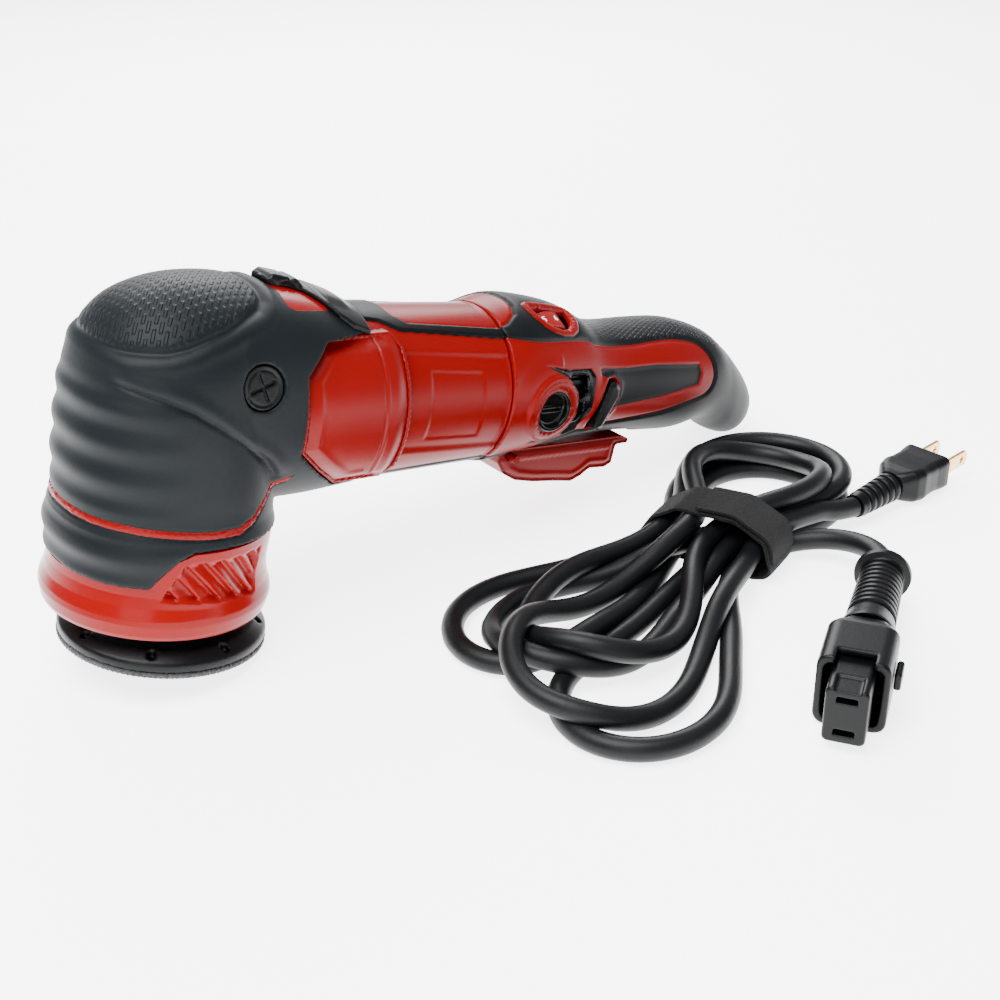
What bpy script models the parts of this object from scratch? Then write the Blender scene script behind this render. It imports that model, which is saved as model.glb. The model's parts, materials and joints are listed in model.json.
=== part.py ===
# A dual action polisher with its detachable mains lead, modelled as separate pieces.
#
# Tool frame: origin on the spindle's axis at the pad face, X towards the tail, Z up the spindle.
# Every piece of the tool hangs from one empty, which leans the tool back until it stands on
# the rear edge of its pad and on the heel of its tail. The lead lies on the same floor.
import math

import bmesh
import bpy
import numpy as np
from mathutils import Vector

MM = 0.001
GAP = 0.3 * MM                 # clearance between pieces that touch

# Pad and eccentric drive
PLATE_RADIUS = 35.0 * MM
DISC_THICKNESS = 1.8 * MM
PLATE_RIM_HEIGHT = 2.4 * MM
PLATE_TOP = 10.0 * MM
PLATE_TOP_RADIUS = 22.0 * MM
ORBIT_RADIUS = 4.0 * MM        # half of the 8 mm orbit
ORBIT_ANGLE = math.radians(-62.0)
STUB_RADIUS = 5.0 * MM
STUB_TOP = 25.0 * MM
ECCENTRIC_BEARING_RADIUS = 13.0 * MM
SPINDLE_RADIUS = 6.0 * MM
SPINDLE_BOTTOM = 26.5 * MM
SPINDLE_TOP = 104.0 * MM
WEIGHT_RADIUS = 30.0 * MM

# Head
SHROUD_BOTTOM = 13.7 * MM
SHROUD_RIM_RADIUS = 37.0 * MM
SHROUD_BULGE_RADIUS = 38.6 * MM
SHROUD_BULGE_HEIGHT = 19.5 * MM
SHROUD_WAIST_RADIUS = 36.0 * MM
SHROUD_FRONT_TOP = 31.0 * MM
SHROUD_TOP = 44.0 * MM
SHROUD_TOP_RADIUS = 37.2 * MM
SHROUD_WALL = 2.6 * MM
SHROUD_STEP_X = -17.0 * MM     # the shroud is low ahead of this plane and tall behind it
TRIM_BOTTOM = 50.0 * MM
TRIM_TOP = 52.0 * MM
TRIM_RADIUS = 35.8 * MM
BAND_TOP_RADIUS = 35.4 * MM
HOUSING_RADIUS = 31.0 * MM
HOUSING_WALL = 3.5 * MM
HOUSING_BOTTOM = 47.0 * MM
HOUSING_SHOULDER = 90.0 * MM
HOUSING_TOP = 113.0 * MM
BOOT_BOTTOM = TRIM_TOP + GAP
BOOT_FRONT = 35.4 * MM
BOOT_TOP = 124.0 * MM
BOOT_REAR = 36.0 * MM
COVER_THICKNESS = 5.7 * MM

# Motor
AXIS_HEIGHT = 80.5 * MM        # the motor's axis above the pad face
NECK_RADIUS = 24.0 * MM
NECK_START = 20.0 * MM
NECK_END = 45.8 * MM
BOOT_END = 62.9 * MM
BOOT_BORE_RADIUS = 28.0 * MM
MOTOR_START = 46.5 * MM
MOTOR_END = 121.2 * MM
MOTOR_FRONT_RADIUS = 31.1 * MM
MOTOR_REAR_RADIUS = 29.4 * MM
MOTOR_BORE_RADIUS = 27.3 * MM
SHAFT_RADIUS = 4.0 * MM
SHAFT_START = 9.5 * MM
SHAFT_END = 168.0 * MM
CORE_START, CORE_END = 74.0 * MM, 108.0 * MM
CORE_RADIUS = 17.0 * MM
STATOR_BORE_RADIUS = 17.6 * MM
STATOR_START, STATOR_END = 72.0 * MM, 110.0 * MM
COMMUTATOR_START, COMMUTATOR_END = 132.0 * MM, 150.0 * MM
COMMUTATOR_RADIUS = 9.5 * MM
FAN_START, FAN_END = 56.0 * MM, 65.0 * MM
FAN_RADIUS = 23.5 * MM
PINION_TEETH = 9
RING_TEETH = 27
PINION_START, PINION_END = 10.0 * MM, 20.0 * MM
PINION_RADIUS = 7.0 * MM
RING_RADIUS = 21.0 * MM
RING_TOP = 72.0 * MM
RING_THICKNESS = 8.0 * MM
FRONT_BEARING_START, FRONT_BEARING_END = 32.0 * MM, 40.0 * MM
FRONT_BEARING_RADIUS = 13.0 * MM
REAR_BEARING_START, REAR_BEARING_END = 158.0 * MM, 165.0 * MM
REAR_BEARING_RADIUS = 9.5 * MM
LOWER_BEARING_BOTTOM, LOWER_BEARING_TOP = 48.0 * MM, 58.0 * MM
LOWER_BEARING_RADIUS = 16.0 * MM
UPPER_BEARING_BOTTOM, UPPER_BEARING_TOP = 94.0 * MM, 101.0 * MM
UPPER_BEARING_RADIUS = 11.0 * MM

# Side panels of the motor housing
PANEL_WALL = 2.6 * MM
PANEL_CORNERS = ((32.0, 72.0), (32.0, 98.0), (41.0, 107.0), (70.0, 108.0),
                 (73.5, 104.0), (73.5, 62.0), (70.0, 57.0), (52.0, 56.0), (41.0, 64.0))

# Handle: x, top, bottom, half width of each section
HANDLE_SECTIONS = ((121.8, 110.1, 51.1, 29.4), (133.0, 112.8, 51.8, 29.0),
                   (148.0, 111.2, 53.6, 27.6), (161.0, 108.0, 55.4, 26.2),
                   (173.0, 102.4, 56.6, 25.0), (187.0, 99.6, 57.0, 24.4),
                   (209.0, 100.0, 55.4, 24.0), (225.0, 99.6, 55.0, 23.4),
                   (240.0, 96.2, 58.0, 22.2), (250.0, 91.0, 54.6, 20.4),
                   (258.0, 85.4, 50.0, 18.6), (266.5, 78.4, 48.0, 16.0),
                   (273.0, 71.6, 51.6, 12.0), (276.6, 66.0, 57.6, 6.5))
HANDLE_WALL = 2.6 * MM
SHELL_END = 238.5 * MM
GRIP_LINE = 97.0 * MM          # the top grip lies above this height
GRIP_LINE_TAIL = 92.0 * MM
BELLY_LINE = 61.0 * MM         # the belly cover lies below this height
BELLY_START = 206.0 * MM
HEEL = Vector((266.5 * MM, 0.0, 48.0 * MM))

# Controls
TRIGGER_PIVOT = Vector((138.5 * MM, 0.0, 53.2 * MM))
TRIGGER_HALF_WIDTH = 13.5 * MM
TRIGGER_OUTLINE = ((133.6, 55.6), (133.4, 50.6), (137.0, 45.8), (143.0, 42.7), (152.0, 41.0),
                   (163.0, 40.0), (173.0, 38.8), (178.0, 40.8), (182.0, 43.4), (190.0, 43.0),
                   (193.8, 44.6), (194.4, 52.4), (200.8, 52.6), (201.0, 54.4), (197.0, 56.0))
POCKET_START, POCKET_END = 131.8 * MM, 203.5 * MM
POCKET_TOP = 63.5 * MM
PIN_RADIUS = 1.5 * MM
PIN_HALF_LENGTH = 17.5 * MM
BUTTON_CENTRE = Vector((173.4 * MM, 0.0, 75.0 * MM))
BUTTON_LENGTH, BUTTON_WIDTH = 16.0 * MM, 5.4 * MM
BUTTON_LEAN = math.radians(24.0)
BUTTON_OUTER, BUTTON_INNER = 27.0 * MM, 18.5 * MM
DIAL_FRAME = Vector((148.0 * MM, 0.0, 82.5 * MM))  # the dial's own frame, rolled to the right
DIAL_ROLL = math.radians(28.4)
DIAL_HEIGHT = 19.6 * MM        # the wheel's axis above that frame
DIAL_RADIUS = 9.0 * MM
DIAL_HALF_WIDTH = 4.2 * MM
DIAL_AXLE_RADIUS, DIAL_AXLE_END = 1.5 * MM, 6.6 * MM
BEZEL_LENGTH, BEZEL_WIDTH, BEZEL_WALL = 22.0 * MM, 13.6 * MM, 2.0 * MM
BEZEL_BOTTOM, BEZEL_TOP = 25.6 * MM, 29.2 * MM
BRUSH_CENTRE = Vector((141.0 * MM, 0.0, 77.0 * MM))
BRUSH_CAP_RADIUS = 8.6 * MM
BRUSH_CAP_INNER, BRUSH_CAP_OUTER = 24.6 * MM, 29.6 * MM
BRUSH_HALF = 3.2 * MM
BRUSH_START, BRUSH_END = 10.2 * MM, 22.0 * MM
VENT_CORNERS = ((151.5, 89.5), (161.5, 88.5), (165.0, 84.0), (165.0, 73.5), (160.0, 67.0),
                (152.0, 63.4), (146.0, 63.0), (146.0, 66.0), (151.5, 70.5))
VENT_RIB_HEIGHT = 76.0 * MM

# Boot caps and neck clip
CAP_CENTRE = Vector((15.2 * MM, 0.0, 95.8 * MM))
CAP_DEPTH = 31.2 * MM
CAP_RADIUS = 7.2 * MM
CAP_TILT = math.radians(12.0)
CLIP_HALF_WIDTH = 9.0 * MM
CLIP_OUTLINE = ((30.5, 123.0), (31.0, 126.0), (36.0, 126.3), (44.0, 124.4), (46.0, 122.9),
                (50.0, 122.9), (57.0, 120.2), (62.0, 117.4), (64.0, 114.2), (60.0, 114.6),
                (52.0, 117.6), (44.0, 120.2), (36.0, 122.4))

# Inlet in the tail
INLET_HALF_WIDTH, INLET_HALF_HEIGHT = 10.6 * MM, 7.8 * MM
INLET_HEIGHT = 67.5 * MM
INLET_FLOOR = 252.0 * MM
INLET_PIN_SPACING = 12.0 * MM
INLET_PIN_END = 266.0 * MM

# Mains lead: floor coordinates, millimetres, along and across the strapped hank
CORD_DIAMETER = 8.0 * MM
HANK_CENTRE = Vector((68.2 * MM, -77.5 * MM, 0.0))
HANK_HEADING = math.radians(200.2)
HANK_BOTTOM, HANK_TOP = 2.4 * MM, 29.0 * MM
HANK_OUTLINE = ((-86, 2), (-80, -16), (-64, -27), (-40, -28), (-14, -24), (14, -24), (42, -35),
                (76, -50), (98, -54), (115, -44), (125, -26), (133, -6), (140, 14), (138, 36),
                (124, 50), (104, 52), (84, 47), (62, 39), (40, 30), (16, 23), (4, 21),
                (-12, 14.2), (-22, 15), (-34, 20), (-46, 26), (-58, 29), (-72, 25), (-82, 16))
PLUG_LEAD = ((-11, 19.4, 13.2), (-18, 20.6, 13.2), (-25, 24.2, 12.8), (-32, 29.6, 11.2),
             (-39.4, 34.6, 9.2), (-48, 37.4, 8.2))
CONNECTOR_LEAD = ((-11, 19.4, 4.2), (-18.6, 22.4, 4.2), (-24.6, 29, 4.6), (-27.4, 38, 5.8),
                  (-26, 47, 8.0), (-20.6, 55, 10.4), (-11.6, 61.6, 12.4), (1.6, 66.2, 13.4))
STRAP_HALF_LENGTH = 10.0 * MM
STRAP_THICKNESS = 1.8 * MM
PLUG_HEADING = math.radians(5.0)
PLUG_HEIGHT = 8.2 * MM
PLUG_LENGTH, PLUG_WIDTH, PLUG_THICKNESS = 26.0 * MM, 21.0 * MM, 14.0 * MM
PLUG_RELIEF_LENGTH = 24.0 * MM
BLADE_LENGTH, BLADE_WIDTH, BLADE_THICKNESS = 17.5 * MM, 6.4 * MM, 1.5 * MM
BLADE_SPACING = 12.7 * MM
CONNECTOR_HEIGHT = 13.4 * MM
CONNECTOR_HEADING = math.radians(212.3)
GRIP_LENGTH, GRIP_RADIUS = 44.0 * MM, 8.2 * MM
FLANGE_RADIUS, FLANGE_LENGTH = 10.0 * MM, 3.0 * MM
HOOD_LENGTH, HOOD_WIDTH, HOOD_HEIGHT = 22.0 * MM, 23.0 * MM, 26.0 * MM
HOOD_WALL = 2.4 * MM
BLOCK_LENGTH, BLOCK_WIDTH, BLOCK_HEIGHT = 30.0 * MM, 13.4 * MM, 20.0 * MM
SLOT_DEPTH = 12.0 * MM
LATCH_LENGTH, LATCH_TRAVEL = 9.0 * MM, 3.0 * MM

RED, BLACK, STEEL = (0.62, 0.012, 0.02), (0.012, 0.014, 0.016), (0.6, 0.6, 0.62)
FINISHES = {
    "red_plastic": (RED, 0.32, 0.0),
    "red_gloss": ((0.66, 0.012, 0.018), 0.18, 0.0),
    "boot_rubber": ((0.016, 0.02, 0.023), 0.5, 0.0),
    "grip_rubber": (BLACK, 0.6, 0.0),
    "black_plastic": (BLACK, 0.38, 0.0),
    "cord_jacket": (BLACK, 0.45, 0.0),
    "strap_fabric": ((0.01, 0.01, 0.012), 0.9, 0.0),
    "hook_fabric": ((0.05, 0.05, 0.055), 0.95, 0.0),
    "bearing_steel": (STEEL, 0.25, 1.0),
    "core_steel": ((0.35, 0.36, 0.38), 0.45, 1.0),
    "cast_alloy": ((0.7, 0.7, 0.71), 0.4, 1.0),
    "copper": ((0.72, 0.36, 0.2), 0.35, 1.0),
    "brass": ((0.85, 0.5, 0.18), 0.25, 1.0),
    "carbon": ((0.03, 0.03, 0.03), 0.7, 0.0),
}

ROUND_STEPS = 32
FINE_STEPS = 40
SMALL_STEPS = 16
parts = cutters = None
materials = {}


# ---------------------------------------------------------------- helpers

def start_scene():
    """Empties the scene and makes the two collections and the materials."""
    global parts, cutters
    for old in list(bpy.data.objects):
        bpy.data.objects.remove(old, do_unlink=True)
    parts = bpy.data.collections.new("dual_action_polisher")
    cutters = bpy.data.collections.new("cutters")
    for collection in (parts, cutters):
        bpy.context.scene.collection.children.link(collection)
    for name, (colour, roughness, metallic) in FINISHES.items():
        made = bpy.data.materials.new(name)
        made.use_nodes = True
        shader = made.node_tree.nodes["Principled BSDF"]
        shader.inputs["Base Color"].default_value = (*colour, 1.0)
        shader.inputs["Roughness"].default_value = roughness
        shader.inputs["Metallic"].default_value = metallic
        materials[name] = made


def add_empty(name, parent=None, location=(0, 0, 0), rotation=(0, 0, 0)):
    empty = bpy.data.objects.new(name, None)
    empty.location, empty.rotation_euler = location, rotation
    empty.parent = parent
    parts.objects.link(empty)
    return empty


def add_mesh(name, bm, finish, parent, location=(0, 0, 0), rotation=(0, 0, 0)):
    """Makes an object of a bmesh: a piece with a finish, or a cutter without one."""
    bmesh.ops.recalc_face_normals(bm, faces=bm.faces)
    mesh = bpy.data.meshes.new(name)
    bm.to_mesh(mesh)
    bm.free()
    return place(name, bpy.data.objects.new(name, mesh), finish, parent, location, rotation)


def place(name, obj, finish, parent, location, rotation):
    obj.name = name
    obj.location, obj.rotation_euler = location, rotation
    obj.parent = parent
    if finish is None:
        obj.hide_render, obj.display_type = True, "WIRE"
        cutters.objects.link(obj)
    else:
        obj.data.materials.append(materials[finish])
        parts.objects.link(obj)
    return obj


AXES = {"Z": (0, 0, 0), "X": (0, math.pi / 2, 0), "Y": (-math.pi / 2, 0, 0)}


def turned(name, profile, finish, parent, axis="Z", at=(0, 0, 0), steps=ROUND_STEPS,
           rotation=None):
    """A turned piece. The profile is (radius, height) down the outer side, from the top; one
    that starts and ends off the axis is closed into a ring."""
    mesh = bpy.data.meshes.new(name)
    count = len(profile)
    edges = [(i, i + 1) for i in range(count - 1)]
    if profile[0][0] > 0:
        edges.append((count - 1, 0))
    mesh.from_pydata([(r, 0, h) for r, h in profile], edges, [])
    obj = bpy.data.objects.new(name, mesh)
    screw = obj.modifiers.new("Turn", "SCREW")
    screw.steps = screw.render_steps = steps
    screw.use_merge_vertices = True
    screw.merge_threshold = 0.00001
    return place(name, obj, finish, parent, at, rotation or AXES[axis])


def ring_profile(inner, outer, low, high):
    return [(outer, high), (outer, low), (inner, low), (inner, high)]


def disc_profile(radius, low, high):
    return [(0, high), (radius, high), (radius, low), (0, low)]


def oval(count, exponent):
    """Points of a unit superellipse."""
    points = []
    for i in range(count):
        turn = 2 * math.pi * i / count
        c, s = math.cos(turn), math.sin(turn)
        points.append((math.copysign(abs(c) ** (2 / exponent), c),
                       math.copysign(abs(s) ** (2 / exponent), s)))
    return points


def lofted(name, rings, finish, parent, **where):
    """A closed skin over rings of equal point count, with flat ends."""
    bm = bmesh.new()
    loops = [[bm.verts.new(p) for p in ring] for ring in rings]
    count = len(loops[0])
    for low, high in zip(loops, loops[1:]):
        for i in range(count):
            j = (i + 1) % count
            bm.faces.new((low[i], low[j], high[j], high[i]))
    bm.faces.new(loops[0])
    bm.faces.new(loops[-1])
    return add_mesh(name, bm, finish, parent, **where)


def section_at_x(x, top, bottom, half_width, inset=0.0, exponent=2.2, count=28):
    middle, half = (top + bottom) / 2, (top - bottom) / 2 - inset
    wide = half_width - inset
    return [(x, wide * a, middle + half * b) for a, b in oval(count, exponent)]


def section_at_z(z, front, rear, half_width, exponent=2.2, count=32):
    middle, half = (rear + front) / 2, (rear - front) / 2
    return [(middle + half * a, half_width * b, z) for a, b in oval(count, exponent)]


def boxed(name, size, finish, parent, at=(0, 0, 0), rotation=(0, 0, 0), bevel=0.0, segments=2):
    """A box of that size about its place, with rounded edges if bevel is set."""
    bm = bmesh.new()
    bmesh.ops.create_cube(bm, size=1.0)
    bmesh.ops.scale(bm, vec=size, verts=bm.verts)
    obj = add_mesh(name, bm, finish, parent, at, rotation)
    if bevel:
        rounding = obj.modifiers.new("Round", "BEVEL")
        rounding.width, rounding.segments = bevel, segments
    return obj


def plate(name, outline, thickness, finish, parent, at=(0, 0, 0), rotation=(0, 0, 0), hole=None):
    """A flat outline given its thickness, with an optional hole, as a welded mesh."""
    curve = bpy.data.curves.new(name, "CURVE")
    curve.dimensions, curve.fill_mode, curve.extrude = "2D", "BOTH", thickness / 2
    for points in [outline] + ([hole] if hole else []):
        spline = curve.splines.new("POLY")
        spline.points.add(len(points) - 1)
        for knot, (x, y) in zip(spline.points, points):
            knot.co = (x, y, 0, 1)
        spline.use_cyclic_u = True
    flat = bpy.data.objects.new(name + "_outline", curve)
    parts.objects.link(flat)
    bpy.context.view_layer.update()
    evaluated = flat.evaluated_get(bpy.context.evaluated_depsgraph_get())
    mesh = bpy.data.meshes.new_from_object(evaluated)
    bpy.data.objects.remove(flat, do_unlink=True)
    mesh.materials.clear()
    bm = bmesh.new()
    bm.from_mesh(mesh)
    bmesh.ops.remove_doubles(bm, verts=bm.verts, dist=0.000005)
    return add_mesh(name, bm, finish, parent, at, rotation)


UPRIGHT = (math.pi / 2, 0, 0)  # stands a flat outline of (x, z) up, its thickness along Y


def from_mm(points):
    return [tuple(c * MM for c in p) for p in points]


def grown(points, by):
    """An outline pushed outwards by that much, corner by corner."""
    ring = [Vector(p) for p in points]
    area = sum(a.x * b.y - a.y * b.x for a, b in zip(ring, ring[1:] + ring[:1]))
    side = 1 if area > 0 else -1
    pushed = []
    for before, here, after in zip(ring[-1:] + ring[:-1], ring, ring[1:] + ring[:1]):
        first, second = (here - before).normalized(), (after - here).normalized()
        normal = Vector((first.y + second.y, -first.x - second.x)) * side
        normal.normalize()
        cosine = abs(normal.dot(Vector((first.y, -first.x))))
        pushed.append(tuple(here + normal * by / max(cosine, 0.5)))
    return pushed


def tube(name, points, diameter, finish, parent, at=(0, 0, 0), rotation=(0, 0, 0), sides=2):
    """A round wire or cord along the points."""
    curve = bpy.data.curves.new(name, "CURVE")
    curve.dimensions = "3D"
    curve.bevel_depth, curve.bevel_resolution, curve.use_fill_caps = diameter / 2, sides, True
    spline = curve.splines.new("POLY")
    spline.points.add(len(points) - 1)
    for knot, point in zip(spline.points, points):
        knot.co = (*point, 1)
    return place(name, bpy.data.objects.new(name, curve), finish, parent, at, rotation)


def smooth_line(points, spacing, closed=False):
    """Points a fixed spacing apart on a Catmull-Rom curve through the given ones."""
    knots = [np.array(p, float) for p in points]
    if closed:
        knots = [knots[-1]] + knots + knots[:2]
    else:
        knots = [2 * knots[0] - knots[1]] + knots + [2 * knots[-1] - knots[-2]]
    fine = []
    for a, b, c, d in zip(knots, knots[1:], knots[2:], knots[3:]):
        for t in np.linspace(0, 1, 24, endpoint=False):
            fine.append(0.5 * (2 * b + (c - a) * t + (2 * a - 5 * b + 4 * c - d) * t ** 2
                               + (3 * b - a - 3 * c + d) * t ** 3))
    fine.append(knots[-2])
    fine = np.array(fine)
    travelled = np.concatenate([[0], np.cumsum(np.linalg.norm(np.diff(fine, axis=0), axis=1))])
    wanted = np.linspace(0, travelled[-1], max(2, round(travelled[-1] / spacing) + 1))
    even = np.stack([np.interp(wanted, travelled, fine[:, k]) for k in range(fine.shape[1])], 1)
    return [tuple(p) for p in (even[:-1] if closed else even)]


def boolean(obj, cutter, operation="DIFFERENCE"):
    step = obj.modifiers.new(operation.title() + " " + cutter.name, "BOOLEAN")
    step.operation, step.object, step.solver = operation, cutter, "EXACT"


def finish_mesh(obj, degrees=35):
    """Smooth shading, and a weld of the near-double corners that cuts leave."""
    if obj.type != "MESH":
        return
    if any(step.type == "BOOLEAN" for step in obj.modifiers):
        weld = obj.modifiers.new("Weld", "WELD")
        weld.merge_threshold = 0.00002
    if len(obj.data.polygons):
        obj.data.shade_smooth()
        obj.data.set_sharp_from_angle(angle=math.radians(degrees))


def both_sides():
    """The two sides of the tool: the name's ending and the sign of Y."""
    return (("right", -1), ("left", 1))


# ---------------------------------------------------------------- pad and drive

def make_pad(tool):
    """The hook-and-loop pad on its stub, which orbits round the spindle's axis."""
    offset = (ORBIT_RADIUS * math.cos(ORBIT_ANGLE), ORBIT_RADIUS * math.sin(ORBIT_ANGLE), 0)
    turned("hook_disc", disc_profile(PLATE_RADIUS - 0.3 * MM, 0, DISC_THICKNESS),
           "hook_fabric", tool, at=offset, steps=FINE_STEPS)
    low = DISC_THICKNESS + GAP
    backing = turned("backing_plate", [
        (0, STUB_TOP), (STUB_RADIUS, STUB_TOP), (STUB_RADIUS, PLATE_TOP + 2 * MM),
        (PLATE_TOP_RADIUS * 0.5, PLATE_TOP), (PLATE_TOP_RADIUS, PLATE_TOP),
        (PLATE_RADIUS, low + PLATE_RIM_HEIGHT), (PLATE_RADIUS, low), (0, low)],
        "black_plastic", tool, at=offset, steps=FINE_STEPS)
    screw_bore = turned("plate_screw_bore", disc_profile(2.6 * MM, PLATE_TOP, STUB_TOP + MM),
                        None, tool, at=offset, steps=SMALL_STEPS)
    boolean(backing, screw_bore)
    turned("plate_screw", [(0, STUB_TOP + 1.2 * MM), (4.4 * MM, STUB_TOP + 1.2 * MM),
                           (4.4 * MM, STUB_TOP + GAP), (2.3 * MM, STUB_TOP + GAP),
                           (2.3 * MM, PLATE_TOP + MM), (0, PLATE_TOP + MM)],
           "bearing_steel", tool, at=offset, steps=SMALL_STEPS)
    bearing_low, bearing_high = STUB_TOP - 8.5 * MM, STUB_TOP - 1.0 * MM
    turned("eccentric_bearing",
           ring_profile(STUB_RADIUS + GAP, ECCENTRIC_BEARING_RADIUS, bearing_low, bearing_high),
           "bearing_steel", tool, at=offset)
    return offset, bearing_low


def make_spindle(tool, offset, bearing_low):
    """The spindle, its bearings, its bevel gear and the counterweight that carries the pad."""
    turned("spindle", [(0, SPINDLE_TOP), (SPINDLE_RADIUS, SPINDLE_TOP),
                       (SPINDLE_RADIUS, SPINDLE_BOTTOM + 6 * MM),
                       (SPINDLE_RADIUS + 3 * MM, SPINDLE_BOTTOM + 6 * MM),
                       (SPINDLE_RADIUS + 3 * MM, SPINDLE_BOTTOM + 2 * MM),
                       (0, SPINDLE_BOTTOM + 2 * MM)], "bearing_steel", tool)
    weight_top = SPINDLE_BOTTOM + 8 * MM
    weight = turned("counterweight", disc_profile(WEIGHT_RADIUS, bearing_low, weight_top),
                    "cast_alloy", tool)
    seat = turned("bearing_seat", disc_profile(ECCENTRIC_BEARING_RADIUS + GAP,
                                               bearing_low - MM, STUB_TOP + 1.6 * MM),
                  None, tool, at=offset)
    collar = turned("collar_seat", disc_profile(SPINDLE_RADIUS + 3 * MM + GAP,
                                                SPINDLE_BOTTOM + 1.4 * MM, weight_top + MM),
                    None, tool)
    side = math.radians(180) + ORBIT_ANGLE
    away = Vector((math.cos(side), math.sin(side), 0))
    relief = boxed("weight_relief", (WEIGHT_RADIUS * 2, WEIGHT_RADIUS * 3, 40 * MM), None, tool,
                   at=tuple(-away * (WEIGHT_RADIUS + ECCENTRIC_BEARING_RADIUS + 7 * MM)
                            + Vector((0, 0, SPINDLE_BOTTOM))), rotation=(0, 0, side))
    for cutter in (seat, collar, relief):
        boolean(weight, cutter)
    turned("spindle_bearing_lower", ring_profile(SPINDLE_RADIUS + GAP, LOWER_BEARING_RADIUS,
                                                 LOWER_BEARING_BOTTOM, LOWER_BEARING_TOP),
           "bearing_steel", tool)
    turned("spindle_bearing_upper", ring_profile(SPINDLE_RADIUS + GAP, UPPER_BEARING_RADIUS,
                                                 UPPER_BEARING_BOTTOM, UPPER_BEARING_TOP),
           "bearing_steel", tool)


def toothed_ring(radius, teeth, depth, height, centre=(0, 0), per_tooth=4):
    """One section of a gear: raised and lowered points round a circle."""
    ring = []
    for i in range(teeth * per_tooth):
        turn = 2 * math.pi * i / (teeth * per_tooth)
        r = radius if i % per_tooth < per_tooth / 2 else radius - depth
        ring.append((centre[0] + r * math.cos(turn), centre[1] + r * math.sin(turn), height))
    return ring


def make_gears(tool):
    """The pinion on the motor shaft and the ring gear on the spindle, a third of its speed."""
    depth = 1.4 * MM
    pinion = lofted("drive_pinion", [
        toothed_ring(PINION_RADIUS * 0.8, PINION_TEETH, depth, PINION_START),
        toothed_ring(PINION_RADIUS, PINION_TEETH, depth, PINION_END)],
        "core_steel", tool, location=(0, 0, AXIS_HEIGHT), rotation=AXES["X"])
    shaft_bore = turned("pinion_bore", disc_profile(SHAFT_RADIUS * 0.7 + GAP, 0, 30 * MM), None,
                        tool, axis="X", at=(0, 0, AXIS_HEIGHT), steps=SMALL_STEPS)
    boolean(pinion, shaft_bore)
    ring_low = RING_TOP - RING_THICKNESS
    gear = lofted("bevel_gear", [
        toothed_ring(RING_RADIUS * 0.8, RING_TEETH, 0.2 * MM, ring_low),
        toothed_ring(RING_RADIUS, RING_TEETH, depth, ring_low + 3 * MM),
        toothed_ring(RING_RADIUS * 0.82, RING_TEETH, depth, RING_TOP)],
        "core_steel", tool)
    spindle_bore = turned("gear_bore", disc_profile(SPINDLE_RADIUS + GAP, 0, 90 * MM), None,
                          tool)
    boolean(gear, spindle_bore)


# ---------------------------------------------------------------- head

def housing_outline(extra=0.0):
    """Outer side of the gear housing's dome, from the top down to its shoulder."""
    rise = HOUSING_TOP - HOUSING_SHOULDER
    points = []
    for step in range(7):
        turn = math.pi / 2 * (1 - step / 6)
        points.append(((HOUSING_RADIUS + extra) * math.cos(turn) ** 0.75 if step else 0.0,
                       HOUSING_SHOULDER + (rise + extra) * math.sin(turn)))
    return points


def make_gear_housing(tool):
    outer = housing_outline()
    solid = turned("gear_housing", outer + [(HOUSING_RADIUS, HOUSING_BOTTOM),
                                            (0, HOUSING_BOTTOM)], "cast_alloy", tool)
    inner = housing_outline(-HOUSING_WALL)
    hollow = turned("housing_hollow", inner + [(HOUSING_RADIUS - HOUSING_WALL, 40 * MM),
                                               (0, 40 * MM)], None, tool)
    neck = turned("housing_neck", disc_profile(NECK_RADIUS, NECK_START, NECK_END), None, tool,
                  axis="X", at=(0, 0, AXIS_HEIGHT), steps=32)
    motor_way = turned("motor_way", [
        (0, NECK_END + MM), (FRONT_BEARING_RADIUS + GAP, NECK_END + MM),
        (FRONT_BEARING_RADIUS + GAP, FRONT_BEARING_START - GAP),
        (9.4 * MM, FRONT_BEARING_START - GAP), (9.4 * MM, 0), (0, 0)], None, tool, axis="X",
        at=(0, 0, AXIS_HEIGHT), steps=24)
    boss = turned("upper_bearing_boss",
                  disc_profile(UPPER_BEARING_RADIUS + 4 * MM, UPPER_BEARING_BOTTOM,
                               HOUSING_TOP - HOUSING_WALL + 0.6 * MM), None, tool, steps=32)
    spindle_way = turned("spindle_way", [
        (0, SPINDLE_TOP + MM), (UPPER_BEARING_RADIUS + GAP, SPINDLE_TOP + MM),
        (UPPER_BEARING_RADIUS + GAP, UPPER_BEARING_BOTTOM - GAP),
        (RING_RADIUS + 2 * MM, UPPER_BEARING_BOTTOM - GAP), (RING_RADIUS + 2 * MM, 40 * MM),
        (0, 40 * MM)], None, tool, steps=24)
    boolean(solid, hollow)
    boolean(solid, neck, "UNION")
    boolean(solid, boss, "UNION")
    boolean(solid, motor_way)
    boolean(solid, spindle_way)
    low = HOUSING_BOTTOM - GAP
    turned("gear_cover", [
        (LOWER_BEARING_RADIUS + 3.5 * MM, LOWER_BEARING_TOP),
        (LOWER_BEARING_RADIUS + 3.5 * MM, low), (HOUSING_RADIUS, low),
        (HOUSING_RADIUS, low - COVER_THICKNESS), (9.6 * MM, low - COVER_THICKNESS),
        (9.6 * MM, LOWER_BEARING_BOTTOM - GAP),
        (LOWER_BEARING_RADIUS + GAP, LOWER_BEARING_BOTTOM - GAP),
        (LOWER_BEARING_RADIUS + GAP, LOWER_BEARING_TOP)], "cast_alloy", tool)


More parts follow.
